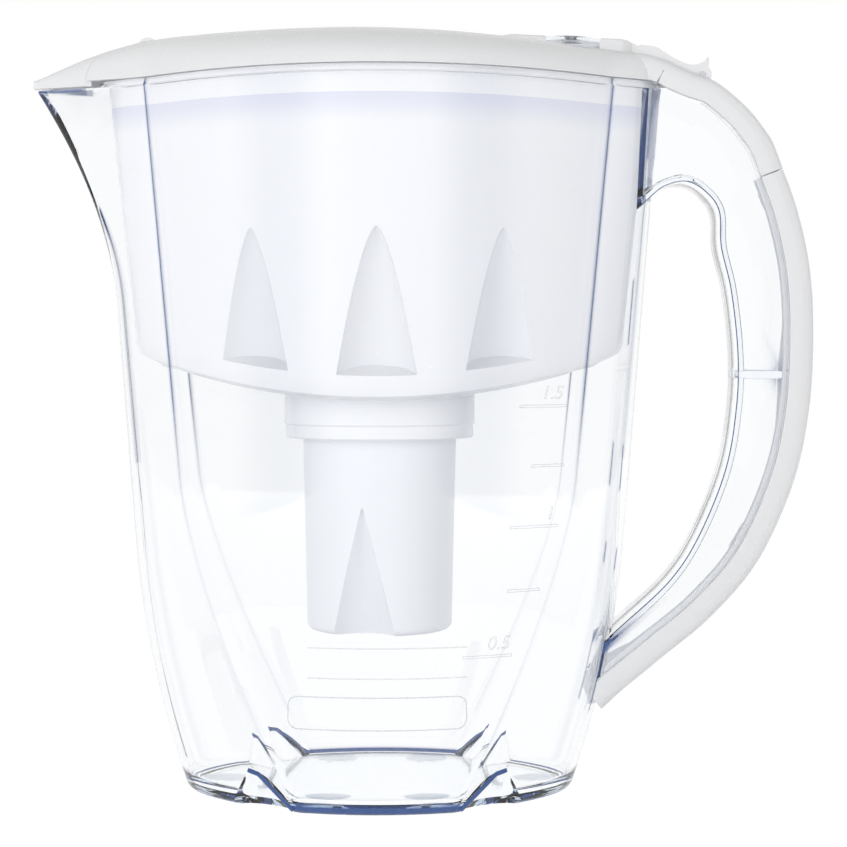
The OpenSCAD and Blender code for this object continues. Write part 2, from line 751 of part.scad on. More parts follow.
// Solid seat under the thumb hinge: its ends before and beyond the jug's rim, and its depth
hinge_seat_in = 8;
hinge_seat_out = 22;
hinge_seat_deep = 7;
// Plan of the rib that reaches into the hopper, moved in by d
function rib_plan(d) = inset(section(rim_z, 0), hopper_gap_at(1) + hopper_wall + lid_rib_gap + d);

module rib_ring(z0, z1) {
    translate([0, 0, z0])
        linear_extrude(z1 - z0)
            difference() {
                polygon(rib_plan(0));
                polygon(rib_plan(lid_rib_t));
            }
}

// Side outline of a layer of the tail between two depths, up to a place along the lid
module tail_side(d0, d1, x0, x1) {
    top = [for (p = shifted(tail_top, -d0)) if (p[0] >= x0 && p[0] <= x1) p];
    low = [for (p = shifted(tail_top, -d1)) if (p[0] >= x0 && p[0] <= x1) p];
    polygon(concat(top, reversed(low)));
}

module lid_shell() {
    difference() {
        dome(0, 0);
        dome(lid_skin, cut);
        prism_of(leaf(flap_gap, 1));
        prism_of(spout_plan(flap_gap));
    }
    // ledge under the fill flap
    intersection() {
        layer(flap_t + 0.1, flap_t + 0.1 + ledge_t);
        difference() {
            prism_of(leaf(flap_gap + 2.5, 1));
            prism_of(leaf(-ledge_w, 0));
        }
    }
    // rib that keeps the lid in the hopper
    rib_ring(hopper_top - lid_rib_h, hopper_top + 0.2);
    difference() {
        intersection() {
            rib_ring(hopper_top, hopper_top + 20);
            translate([0, 0, -flap_t - 0.2])
                dome(0, 0);
        }
        prism_of(spout_plan(flap_gap));
    }
}

module tail_shell() {
    half = handle_w / 2;
    difference() {
        back_sweep(tail_top, back_profile(half, 0, cover_depth));
        back_sweep(tail_top, back_profile(half - channel_wall, lid_skin, cover_depth + cut));
        dome(lid_skin, cut);
        prism_of(leaf(flap_gap, 1));
        // room for the jug's rim and the hopper's flange
        loft([for (z = [rim_z - 2 * cover_depth, hopper_top])
            at_height(inset(section(rim_z, 0), -flange_out - rest_gap), z)]);
    }
    // solid seat of the thumb hinge
    translate([off_station, 0, 0])
        upright(handle_w - 2 * channel_wall + 0.2)
            tail_side(lid_skin - 0.4, hinge_seat_deep, rim_half_l - hinge_seat_in,
                rim_half_l + hinge_seat_out);
}

module lid_frame() {
    pin_hole = pin_r + pin_fit;
    color(gloss_white)
        difference() {
            union() {
                difference() {
                    union() {
                        lid_shell();
                        tail_shell();
                        cross_rod(spout_hinge, ear_r, ear_span);
                    }
                    // groove of the thumb lever and the room round its knuckle
                    translate([off_station, 0, 0])
                        upright(lever_w + 2 * flap_gap)
                            tail_side(-20, groove, rim_half_l - 11, hinge[0]);
                    cross_rod(hinge, knuckle_r + 2 * flap_gap, lever_w + 2 * flap_gap);
                    // slot of the spout flap's knuckle
                    cross_rod(spout_hinge, spout_knuckle_r + flap_gap, spout_knuckle_w + 2 * flap_gap);
                    translate([spout_hinge[0] - 12, -spout_knuckle_w / 2 - flap_gap,
                        spout_hinge[1] - spout_knuckle_r - flap_gap])
                        cube([14, spout_knuckle_w + 2 * flap_gap, 20]);
                }
                // hinge post
                cross_rod(hinge, post_r, post_w);
                translate([hinge[0] - post_r, -post_w / 2, hinge[1] - 6])
                    cube([2 * post_r, post_w, 6]);
            }
            cross_rod(hinge, pin_hole, handle_w);
            cross_rod(spout_hinge, pin_r, ear_span + 2 * cut);
        }
}

// ---------------------------------------------------------------- flaps

module spout_flap() {
    lower = hopper_top - rim_z - 0.5;
    color(gloss_white)
        difference() {
            union() {
                intersection() {
                    difference() {
                        dome(0, lower);
                        dome(flap_t, lower + cut);
                        translate([-rim_half_l - 1.5, -50, hopper_top - 10])
                            cube([100, 100, 10]);
                    }
                    prism_of(spout_plan(0));
                }
                // arm and knuckle
                upright(spout_knuckle_w)
                    polygon([[seam_x(0) - 6, spine_z(seam_x(0) - 6) - 0.4],
                        [seam_x(0) - 6, spine_z(seam_x(0) - 6) - 3.6],
                        [spout_hinge[0], spout_hinge[1] - spout_knuckle_r],
                        [spout_hinge[0], spout_hinge[1] + spout_knuckle_r]]);
                cross_rod(spout_hinge, spout_knuckle_r, spout_knuckle_w);
            }
            cross_rod(spout_hinge, pin_r + pin_fit, spout_knuckle_w + 2 * cut);
        }
}

module spout_flap_pin() {
    color(soft_grey)
        cross_rod(spout_hinge, pin_r, ear_span - 1);
}

dial_seat = [dial_x, 0, hopper_top + dial_rise];
module on_dial() {
    translate(dial_seat)
        rotate([0, dial_lean, 0])
            children();
}
dial_pin_r = 1.2;
plate_t = 0.8;
cover_wall = 1.2;
dial_lift = 0.3;
boss_r = 4;
boss_low = 4.5;

plateau_half = 10;
// Side outline of the plateau: distance along the lid from the dial, height over the spine
plateau = [[-27.5, -1], [-26, 0.6], [-21.5, 2.4], [-15.5, 2.6], [16.5, 3.6], [21.5, 2.6],
    [24.5, 1], [22.5, -1]];
lever_top = concat(from_rim([[-13, 12], [-11, 13.6], [-7.5, 14.8], [-5, 14.8], [-1.7, 14.1],
    [3.5, 10.9], [7, 9.1]]), [for (p = [[-3.5, 3.4], [-0.3, 4], [2.2, 6.2], [2.2, -0.4]]) hinge + p]);

module flip_lid() {
    lever_low = [for (p = shifted(tail_top, rest_gap - groove))
        if (p[0] > rim_half_l - 10.4 && p[0] < hinge[0] - 2) p];
    color(gloss_white)
        difference() {
            union() {
                intersection() {
                    layer(0, flap_t);
                    prism_of(leaf(0, 0));
                }
                // plateau that carries the dial
                intersection() {
                    upright(2 * plateau_half)
                        polygon([for (p = plateau) [dial_x + p[0], spine_z(dial_x + p[0]) + p[1]]]);
                    union() {
                        prism_of(leaf(0, 0));
                        translate([dial_x, -lever_w / 2, hopper_top])
                            cube([plateau_half + 12, lever_w, 30]);
                    }
                }
                on_dial()
                    translate([0, 0, -flap_t + 0.4])
                        cylinder(r = dial_r, h = flap_t - 0.4, $fn = fine);
                on_dial()
                    translate([0, 0, -boss_low])
                        cylinder(r = boss_r, h = boss_low, $fn = small);
                // thumb lever
                upright(lever_w)
                    polygon(concat(lever_top, [[hinge[0], hinge[1] - 2]], reversed(lever_low)));
                cross_rod(hinge, knuckle_r, lever_w);
            }
            // room for the hinge post, down at rest and behind the lever when open
            cross_rod(hinge, post_room, post_w + 2 * post_gap);
            upright(post_w + 2 * post_gap)
                polygon([for (p = [[-post_room, 0], [-post_room, -8], [8, -8], [8, post_room],
                    [0, post_room]]) hinge + p]);
            cross_rod(hinge, pin_r, lever_w + 2 * cut);
            // dial pocket and pin hole
            on_dial()
                cylinder(r = dial_r + flap_gap, h = 20, $fn = fine);
            on_dial()
                translate([0, 0, -10])
                    cylinder(r = dial_pin_r + pin_fit, h = 20, $fn = small);
        }
}

module flip_lid_pin() {
    color(soft_grey)
        cross_rod(hinge, pin_r, lever_w - 0.4);
}

// ---------------------------------------------------------------- dial

module number_plate() {
    color(gloss_white)
        on_dial()
            difference() {
                cylinder(r = dial_r - cover_wall - 0.4, h = plate_t, $fn = fine);
                translate([0, 0, -cut])
                    cylinder(r = dial_pin_r + pin_fit, h = plate_t + 2 * cut, $fn = small);
            }
}

module dial_cover() {
    color(clear_blue)
        on_dial()
            difference() {
                translate([0, 0, dial_lift])
                    cylinder(r = dial_r, h = dial_t, $fn = fine);
                translate([0, 0, dial_lift - cut])
                    cylinder(r = dial_r - cover_wall, h = dial_t - cover_wall + cut, $fn = fine);
                cylinder(r = dial_pin_r, h = 10, $fn = small);
            }
}

pointer_t = 0.8;
module dial_pointer() {
    color(soft_grey)
        on_dial()
            translate([0, 0, dial_lift + dial_t - cover_wall - pointer_t])
                linear_extrude(pointer_t)
                    difference() {
                        union() {
                            circle(r = 3.4, $fn = small);
                            polygon([[-1.8, 0], [1.8, 0], [0, dial_r - cover_wall - 1]]);
                        }
                        circle(r = dial_pin_r, $fn = small);
                    }
}

clip_t = 0.8;
module dial_pin() {
    color(soft_grey)
        on_dial() {
            translate([0, 0, -boss_low - clip_t - 0.8])
                cylinder(r = dial_pin_r, h = boss_low + clip_t + 0.8 + dial_lift + dial_t + 0.1,
                    $fn = small);
            translate([0, 0, dial_lift + dial_t])
                cylinder(r1 = 2.6, r2 = 2, h = 0.8, $fn = small);
        }
}

module dial_clip() {
    color(soft_grey)
        on_dial()
            translate([0, 0, -boss_low - clip_t - 0.1])
                difference() {
                    cylinder(r = 3, h = clip_t, $fn = small);
                    translate([0, 0, -cut])
                        cylinder(r = dial_pin_r, h = clip_t + 2 * cut, $fn = small);
                }
}

jug_body();
foot_pads();
jug_handle();
handle_cover();
hopper();
cartridge_barrel();
cartridge_cap();
cartridge_seal();
inlet_mesh();
carbon_media();
outlet_felt();
lid_frame();
spout_flap();
spout_flap_pin();
flip_lid();
flip_lid_pin();
number_plate();
dial_cover();
dial_pointer();
dial_pin();
dial_clip();
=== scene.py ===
from math import cos, hypot, pi, radians, sin, sqrt

import bpy
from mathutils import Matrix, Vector


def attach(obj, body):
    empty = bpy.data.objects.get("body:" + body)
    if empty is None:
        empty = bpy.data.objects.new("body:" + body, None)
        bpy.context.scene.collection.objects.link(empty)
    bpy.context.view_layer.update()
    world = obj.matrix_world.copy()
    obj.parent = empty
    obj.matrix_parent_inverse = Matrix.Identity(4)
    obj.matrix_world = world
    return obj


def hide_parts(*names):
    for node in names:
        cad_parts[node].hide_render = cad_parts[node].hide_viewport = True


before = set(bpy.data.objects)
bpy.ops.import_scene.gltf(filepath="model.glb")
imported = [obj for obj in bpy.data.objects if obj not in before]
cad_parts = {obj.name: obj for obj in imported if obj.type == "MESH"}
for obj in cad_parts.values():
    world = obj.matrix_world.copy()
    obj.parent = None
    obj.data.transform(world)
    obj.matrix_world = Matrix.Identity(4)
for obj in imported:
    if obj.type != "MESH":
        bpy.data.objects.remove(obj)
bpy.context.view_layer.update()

MM = 0.001

# ---- sizes, in millimetres
RIM_Z, RIM_HALF_L, RIM_HALF_W = 238.0, 96.0, 56.0
END_TAPER, SIDE_TAPER = 0.0815, 0.012
TUCK_Z, END_TUCK, SIDE_TUCK = 85.0, 11.4, 3.5
JUG_WALL, JUG_FLOOR = 2.5, 3.0
CREASE_Z, CREASE_MID_X, CREASE_FOOT_X, CREASE_SLOPE = 107.0, 65.0, 25.0, 0.1
SPOUT_REACH, SPOUT_HALF_W, SPOUT_FOOT_Z = 21.6, 14.0, 166.0
BEAK_R, NOTCH_IN, NOTCH_OUT, NOTCH_R, NOTCH_H = 2.0, 22.7, 1.0, 12.3, 16.5
FOOT_ROUND, RIM_ROUND, ROOM_ROUND, MOUTH_ROUND = 2.5, 0.9, 4.0, 0.7
PAD_D, PAD_T, PAD_X, PAD_SIDE_IN, PAD_END_IN = 14.6, 1.6, 16.0, 14, 12
HANDLE_W, CHANNEL_WALL = 24.0, 2.2
COVER_DEPTH, COVER_SKIN, COVER_LIP, RIB_T, RIB_DROP = 9.0, 2.4, 2, 2.6, 98.5
HOPPER_GAP, HOPPER_DRAFT, HOPPER_WALL = 1.3, 2.4, 2.0
FLANGE_T, FLANGE_OUT, CHIN_H = 2.3, 0.8, 4.5
RIM_LIP_H, RIM_LIP_T = 2.1, 1.2
CREASE_BEAD, NOTCH_EDGE_R, NOTCH_EDGE_SINK = 0.5, 0.8, 0.25
HOPPER_LOW, HOPPER_BOW = 132.5, 18.0
FLUTE_TOP, FLUTE_R, FLUTE_PITCH = 189.0, 14.6, 40.7
SOCKET_R, SOCKET_Z, SOCKET_WALL, LIP_T = 32.4, 119.5, 2.4, 2.4
BARREL_Z, BARREL_LOW_R, BARREL_TOP_R = 54.0, 24.6, 26.1
BARREL_FLUTE_R, BARREL_FLUTE_H, BARREL_TURN = 11.0, 44.4, -12.0
HEAD_T, SEAL_T, OUTLET_R, OUTLET_AT = 4.0, 2.8, 1.6, 9
LID_OVER, LID_SKIN, LID_RIB_H, LID_RIB_T, LID_RIB_GAP = 1.6, 2.6, 8.0, 1.6, 1.6
FLAP_T, FLAP_HALF_L, FLAP_HALF_W, FLAP_MID_X, FLAP_GAP = 2.2, 77.0, 27.0, 11.0, 0.5
LEDGE_W, LEDGE_T, LEDGE_OUT, LEDGE_GAP = 3.0, 1.8, 2.5, 0.1
LEVER_W, HINGE_REACH, HINGE_RISE = 13.0, 13.8, 4.8
SEAM_IN, SEAM_BOW, SPOUT_HINGE_IN, SPOUT_HINGE_RISE = 34.4, 16, 39.9, 11.3
PIN_R, PIN_FIT = 1.25, 0.05
DIAL_X, DIAL_R, DIAL_LEAN, DIAL_RISE, DIAL_PIN_R = 65.5, 13.0, 2.8, 11.4, 1.2
DIAL_BOSS_R, DIAL_BOSS_DEEP, DIAL_NUMBER_R = 4, 4.5, 8.8
HINGE_SEAT_IN, HINGE_SEAT_OUT, HINGE_SEAT_DEEP = 8, 22, 7
CUT = 1.0              # how far a cutter runs on past what it cuts
REST_GAP = 0.3         # gap between curved faces of different bodies
HOPPER_TOP = RIM_Z + FLANGE_T
CORNERS = [(sx, sy) for sx in (-1, 1) for sy in (-1, 1)]


# ---- outline of the jug
def half_l(z):
    """Half length at a height, without the beak."""
    return RIM_HALF_L - END_TAPER * (RIM_Z - z) - END_TUCK * max(0, 1 - z / TUCK_Z) ** 2


def half_w(z):
    return RIM_HALF_W - SIDE_TAPER * (RIM_Z - z) - SIDE_TUCK * max(0, 1 - z / TUCK_Z) ** 2


def crease_x(z):
    """Where the crease between a long side and an end runs at a height."""
    if z > CREASE_Z:
        return CREASE_MID_X + CREASE_SLOPE * (z - CREASE_Z)
    return CREASE_MID_X - (CREASE_MID_X - CREASE_FOOT_X) * (1 - z / CREASE_Z) ** 1.35


def crease_y(z):
    leafness = 1 + (max(z, 0) / RIM_Z) ** 0.8
    return half_w(z) * (1 - (crease_x(z) / half_l(z)) ** 2) ** (leafness / 2)


def spout_out(z):
    return SPOUT_REACH * max(0, (z - SPOUT_FOOT_Z) / (RIM_Z - SPOUT_FOOT_Z)) ** 1.85


def end_x(y, z):
    c = crease_x(z)
    return c + (half_l(z) - c) * (1 - (y / crease_y(z)) ** 2)


def side_y(x, z):
    c = crease_y(z)
    return c + (half_w(z) - c) * (1 - (x / crease_x(z)) ** 2)


def beak_share(y):
    reach = hypot(SPOUT_HALF_W, BEAK_R) - BEAK_R
    return max(0, 1 - (hypot(y, BEAK_R) - BEAK_R) / reach)


def beak_x(y, z):
    return end_x(y, z) + spout_out(z) * beak_share(y) ** 1.2


NOTCH_X = half_l(0) - NOTCH_IN
NOTCH_Y = side_y(NOTCH_X, NOTCH_H) + NOTCH_OUT
END_STEPS, SIDE_STEPS, BEAK_STEPS, CHEEK_STEPS = 28, 44, 16, 7


def section(z, spout=1.0):
    """One horizontal section of the jug, counter-clockwise from above."""
    c, s, cx = crease_y(z), SPOUT_HALF_W, crease_x(z)
    ys = span(c, s, CHEEK_STEPS)[:-1]
    ys += [s * (1 - i / BEAK_STEPS) for i in range(2 * BEAK_STEPS + 1)]
    ys += span(-s, -c, CHEEK_STEPS)[1:]
    ring = [(end_x(y, z), y) for y in (c * (2 * i / END_STEPS - 1) for i in range(END_STEPS + 1))]
    xs = [cx * (1 - 2 * i / SIDE_STEPS) for i in range(1, SIDE_STEPS)]
    ring += [(x, side_y(x, z)) for x in xs]
    ring += [(-(spout * beak_x(y, z) + (1 - spout) * end_x(y, z)), y) for y in ys]
    ring += [(-x, -side_y(x, z)) for x in xs]
    return ring


BEAK_TIP = END_STEPS + SIDE_STEPS + CHEEK_STEPS + BEAK_STEPS    # its place in a section


def wall_inside(z, d):
    """The section moved in by d, with the fold that this gives in the beak's tip taken out."""
    ring = inset(section(z), d)
    least = [0.04 * k for k in range(BEAK_STEPS + 1)]
    k = next(k for k in range(BEAK_STEPS) if ring[BEAK_TIP - k - 1][1] > least[k + 1] + 0.05)
    tip_x = ring[BEAK_TIP - k - 1][0] - 0.3
    for i in range(k + 1):
        ring[BEAK_TIP - i] = (tip_x, least[i])
        ring[BEAK_TIP + i] = (tip_x, -least[i])
    return ring


def creased(z, d=0.0):
    """The section with a fine rounded bead on each of its four creases, moved in by d."""
    ring = inset(section(z), d) if d else section(z)
    for sx, sy in CORNERS:
        at = Vector((sx * crease_x(z), sy * crease_y(z)))
        out = Vector((sx * 0.62, sy * 0.78))
        near = min(range(len(ring)), key=lambda i: (Vector(ring[i]) - at).length)
        ring[near] = tuple(Vector(ring[near]) + out * CREASE_BEAD)
    return ring


# ---- curves
def inset(outline, d):
    """Moves each point of a closed counter-clockwise outline inwards by d."""
    out, n = [], len(outline)
    for i in range(n):
        here = Vector(outline[i])
        before = (here - Vector(outline[i - 1])).normalized()
        after = (Vector(outline[(i + 1) % n]) - here).normalized()
        inward = Vector((-before.y - after.y, before.x + after.x)).normalized()
        mitre = sqrt(max(0.3, (1 + before.dot(after)) / 2))
        out.append(tuple(here + inward * d / mitre))
    return out


def shifted(curve, d):
    """Moves an open curve to its left by d."""
    out, last = [], len(curve) - 1
    for i, p in enumerate(curve):
        along = Vector(curve[min(i + 1, last)]) - Vector(curve[max(i - 1, 0)])
        along.normalize()
        out.append((p[0] - d * along.y, p[1] + d * along.x))
    return out


def smooth(points, n):
    """Catmull-Rom curve through points, with n steps between neighbours."""
    out, last = [], len(points) - 1
    for i in range(last):
        a, b = points[max(i - 1, 0)], points[i]
        c, d = points[i + 1], points[min(i + 2, last)]
        for k in range(n):
            t = k / n
            out.append(tuple(0.5 * (2 * b[j] + (c[j] - a[j]) * t
                + (2 * a[j] - 5 * b[j] + 4 * c[j] - d[j]) * t * t
                + (3 * b[j] - 3 * c[j] + d[j] - a[j]) * t ** 3) for j in (0, 1)))
    return out + [tuple(points[last])]


def lookup(x, points):
    """Straight-line reading of a table of (x, value)."""
    if x <= points[0][0]:
        return points[0][1]
    for a, b in zip(points, points[1:]):
        if x <= b[0]:
            return a[1] + (b[1] - a[1]) * (x - a[0]) / (b[0] - a[0])
    return points[-1][1]


def from_rim(points):
    return [(RIM_HALF_L + x, RIM_Z + z) for x, z in points]


def at_height(outline, z):
    return [(x, y, z) for x, y in outline]


def span(a, b, n):
    return [a + (b - a) * i / n for i in range(n + 1)]


def circle(n):
    return span(0, 2 * pi, n)[:-1]


def arc(n):
    """The angles of a quarter turn."""
    return span(0, pi / 2, n)


def on_circle(r, degrees):
    a = radians(degrees)
    return (r * cos(a), r * sin(a))


# ---- modelling tools
def only(ob):
    """Selects one object and makes it active."""
    bpy.ops.object.select_all(action="DESELECT")
    ob.select_set(True)
    bpy.context.view_layer.objects.active = ob
    return ob


def added(name, operator, **settings):
    """Runs one of Blender's add operators by itself and names what it makes."""
    bpy.ops.object.select_all(action="DESELECT")
    operator(**settings)
    return named(name)


def named(name):
    ob = bpy.context.object
    ob.name = ob.data.name = name
    return ob


def place(ob):
    """Puts the object's own place into its mesh."""
    only(ob)
    bpy.ops.object.transform_apply(location=True, rotation=True, scale=True)
    return ob


def edited(ob, *steps):
    """Runs mesh operators, given with their settings, each on the whole mesh."""
    only(ob)
    bpy.ops.object.mode_set(mode="EDIT")
    for operator, settings in steps:
        bpy.ops.mesh.select_all(action="SELECT")
        operator(**settings)
    bpy.ops.object.mode_set(mode="OBJECT")
    return ob


MERGE = (bpy.ops.mesh.remove_doubles, {"threshold": 1e-7})
FILL = (bpy.ops.mesh.fill_holes, {"sides": 0})
FACE_OUT = (bpy.ops.mesh.normals_make_consistent, {"inside": False})


def loft(name, rings):
    """A grid bent into a stack of closed rings, given in millimetres, with its ends filled."""
    ob = added(name, bpy.ops.mesh.primitive_grid_add, x_subdivisions=len(rings[0]),
               y_subdivisions=len(rings) - 1, size=1)
    flat = []
    for ring in rings:
        for p in list(ring) + [ring[0]]:
            flat += [p[0] * MM, p[1] * MM, p[2] * MM]
    ob.data.vertices.foreach_set("co", flat)
    ob.data.update()
    return edited(ob, MERGE, FILL, FACE_OUT)


def turned(name, profile, steps=128):
    """A lathe solid about Z through a profile of (radius, height), lowest point first."""
    return loft(name, [[(max(r, 0) * cos(a), max(r, 0) * sin(a), z) for a in circle(steps)]
                       for r, z in profile])


def column(name, outline, z0, z1):
    """An upright solid between two heights, with the same plan at both."""
    return loft(name, [at_height(outline, z0), at_height(outline, z1)])


def moved(ob, by):
    ob.location = [v * MM for v in by]
    return place(ob)


def flat_shape(name, corners):
    """One flat face through corners in millimetres."""
    ob = added(name, bpy.ops.mesh.primitive_circle_add, vertices=len(corners), radius=1,
               fill_type="NGON")
    for v, p in zip(ob.data.vertices, corners):
        v.co = [c * MM for c in p]
    return ob


def pulled(ob, move):
    """Draws a flat shape out into a plate."""
    extrude = (bpy.ops.mesh.extrude_region_move, {"TRANSFORM_OT_translate": {"value": move}})
    return edited(edited(ob, extrude), MERGE, FACE_OUT)


def slab(name, outline, half):
    """A plate cut to an outline in the XZ plane, as thick on both sides of the middle."""
    return pulled(flat_shape(name, [(x, -half, z) for x, z in outline]), (0, 2 * half * MM, 0))


def prism(name, outline, z0, z1):
    """A plate cut to an outline in plan."""
    return pulled(flat_shape(name, at_height(outline, z0)), (0, 0, (z1 - z0) * MM))


def rod(name, r, z0, z1, at=(0, 0), steps=96, tip=None):
    """An upright cylinder, or a cone with another radius at its tip."""
    ob = added(name, bpy.ops.mesh.primitive_cone_add, vertices=steps, radius1=r * MM,
               radius2=(tip or r) * MM, depth=(z1 - z0) * MM)
    return moved(ob, (*at, (z0 + z1) / 2))


def cross_rod(name, point, r, length):
    """A cylinder that lies across the jug."""
    ob = added(name, bpy.ops.mesh.primitive_cylinder_add, vertices=64, radius=r * MM,
               depth=length * MM, rotation=(pi / 2, 0, 0))
    return moved(ob, (point[0], 0, point[1]))


def brick(name, lo, hi):
    ob = added(name, bpy.ops.mesh.primitive_cube_add, size=1)
    ob.scale = [(b - a) * MM for a, b in zip(lo, hi)]
    return moved(ob, [(a + b) / 2 for a, b in zip(lo, hi)])


def apply_modifiers(ob):
    only(ob)
    for m in list(ob.modifiers):
        bpy.ops.object.modifier_apply(modifier=m.name)
    return ob


def boolean(ob, tool, how):
    m = ob.modifiers.new("cut", "BOOLEAN")
    m.operation = how
    m.object = tool
    m.solver = "MANIFOLD"
    apply_modifiers(ob)
    bpy.data.objects.remove(tool)
    return ob


def cut_away(ob, *tools):
    for tool in tools:
        boolean(ob, tool, "DIFFERENCE")
    return ob


def join_on(ob, *others):
    for other in others:
        boolean(ob, other, "UNION")
    return ob


def joined(name, parts):
    only(parts[0])
    for p in parts:
        p.select_set(True)
    bpy.ops.object.join()
    return named(name)


def shade(ob, degrees):
    only(ob)
    bpy.ops.object.shade_smooth_by_angle(angle=radians(degrees))
    return ob


def soften(ob, width, segments, degrees):
    """Rounds the sharp edges of a finished solid."""
    m = ob.modifiers.new("soft edges", "BEVEL")
    m.width = width * MM
    m.segments = segments
    m.limit_method = "ANGLE"
    m.angle_limit = radians(degrees)
    m.miter_outer = "MITER_ARC"
    m.use_clamp_overlap = True
    return apply_modifiers(ob)


# ---- jug with handle channel
INSIDE_X = RIM_HALF_L - 45     # where the handle's outlines end, inside the jug
OPENING_RUN = 30               # how far the opening's outline runs on from there

TAIL_TOP = smooth(from_rim([(-12, 12.6), (-6, 12.1), (1, 10), (4, 8.5), (11.4, 5.3),
    (17.7, 3.1), (24.2, -1.6), (30.3, -7.4), (34.9, -13.2), (38.3, -18.7), (41.4, -27)]), 7)
COVER_CURVE = smooth(from_rim([(41.5, -27.4), (46.3, -41), (50.3, -59), (51.8, -80),
    (50.5, -108), (45, -134), (33, -160.5), (17, -179.5), (-1, -194.5), (-23, -212.5)]), 12)
OPENING_CURVE = smooth(from_rim([(-14, -47), (-4, -37), (1, -33.4), (7.7, -32.1),
    (14, -35.4), (18.6, -42), (19.3, -54), (22.7, -69), (24.9, -90), (24.4, -108),
    (20.8, -129), (12, -151), (2, -166.5), (-14, -181.5), (-26, -192)]), 8)


def handle_side(d, top_drop):
    """Side view of the handle, lowered by d from its back and cut off level at the top."""
    back, top = shifted(TAIL_TOP + COVER_CURVE, -d), RIM_Z - top_drop
    top_x = lookup(top, [(z, x) for x, z in reversed(back)])
    return ([(INSIDE_X, top), (top_x, top)] + [p for p in back if p[1] < top]
            + [(INSIDE_X, back[-1][1])])


def opening_side(d):
    """Side view of the finger opening, grown by d."""
    edge, far_x = shifted(OPENING_CURVE, d), INSIDE_X - OPENING_RUN
    return [(far_x, edge[0][1])] + edge + [(far_x, edge[-1][1])]


# one foot notch in plan, for a notch of radius 1
NOTCH_OUTLINE = [(-1.5, 0.73), (-1.3, 0.16), (-1.18, -0.22), (-0.96, -0.51), (-0.67, -0.75),
    (-0.33, -0.93), (0, -1), (0.37, -0.92), (0.69, -0.73), (0.93, -0.52), (1.6, 0.5),
    (0.8, 1.8), (-1, 1.8)]


def outer_y(x, z):
    """Half width of the jug at a place along it."""
    c = crease_x(z)
    return side_y(x, z) if x < c else crease_y(z) * max(0, 1 - (x - c) / (half_l(z) - c)) ** 0.5


def notch_leg(z):
    """Where the inner leg of a foot notch meets the outside of the wall."""
    k = NOTCH_R * (1 - z / NOTCH_H)
    leg = [(NOTCH_X + k * x, NOTCH_Y + k * y) for x, y in smooth(NOTCH_OUTLINE[:6], 24)]
    x, y = min(leg, key=lambda p: abs(p[1] - outer_y(p[0], z)))
    return Vector((x, outer_y(x, z) - NOTCH_EDGE_SINK, z))


def make_notch_edges():
    """Rolled edges along the inner legs of the foot notches, painted dark blue as the shade those
    edges refract.
    """
    rise = NOTCH_Y - outer_y(NOTCH_X, NOTCH_H)
    path = [notch_leg(z) for z in span(1.0, NOTCH_H * (1 - 1.12 * rise / NOTCH_R), 18)]
    path.append(path[-1] + Vector((0.9, 0, 0.3)))
    last = len(path) - 1
    rings = []
    for i, p in enumerate(path):
        along = (path[min(i + 1, last)] - path[max(i - 1, 0)]).normalized()
        side = along.cross(Vector((0, 1, 0))).normalized()
        up = side.cross(along)
        r = NOTCH_EDGE_R * (0.8 if i in (0, last) else 1)
        rings.append([p + r * (cos(a) * side + sin(a) * up) for a in circle(13)])
    parts = [loft("notch edge", [[(sx * q.x, sy * q.y, q.z) for q in ring] for ring in rings])
             for sx, sy in CORNERS]
    return shade(joined("notch edges", parts), 60)


def foot_notches(grow):
    """Pointed cutters of the four foot notches, grown for the inside."""
    outline = smooth(NOTCH_OUTLINE, 4)
    wide, high = NOTCH_R + grow, NOTCH_H + 1.2 * grow
    levels = ((wide * (1 + CUT / high), -CUT), (0.03, high))
    return [loft("foot notch", [[(sx * (NOTCH_X + k * x), sy * (NOTCH_Y + k * y), z)
                                 for x, y in outline] for k, z in levels]) for sx, sy in CORNERS]


JUG_LEVELS = (span(FOOT_ROUND, TUCK_Z, 26) + span(TUCK_Z, RIM_Z - 6, 42)[1:]
              + [RIM_Z - 4, RIM_Z - 2])


def jug_rings(bottom, wall, round_r, n, plan, start):
    """Rings of the jug, or of its room, with a rounded foot and a plan for each level."""
    rings = [at_height(inset(section(bottom), wall + round_r + 0.5), bottom)]
    for a in arc(n):
        z = bottom + round_r * (1 - cos(a))
        rings.append(at_height(inset(section(z), wall + round_r * (1 - sin(a))), z))
    return rings + [at_height(plan(z, wall), z) for z in JUG_LEVELS if z > start]


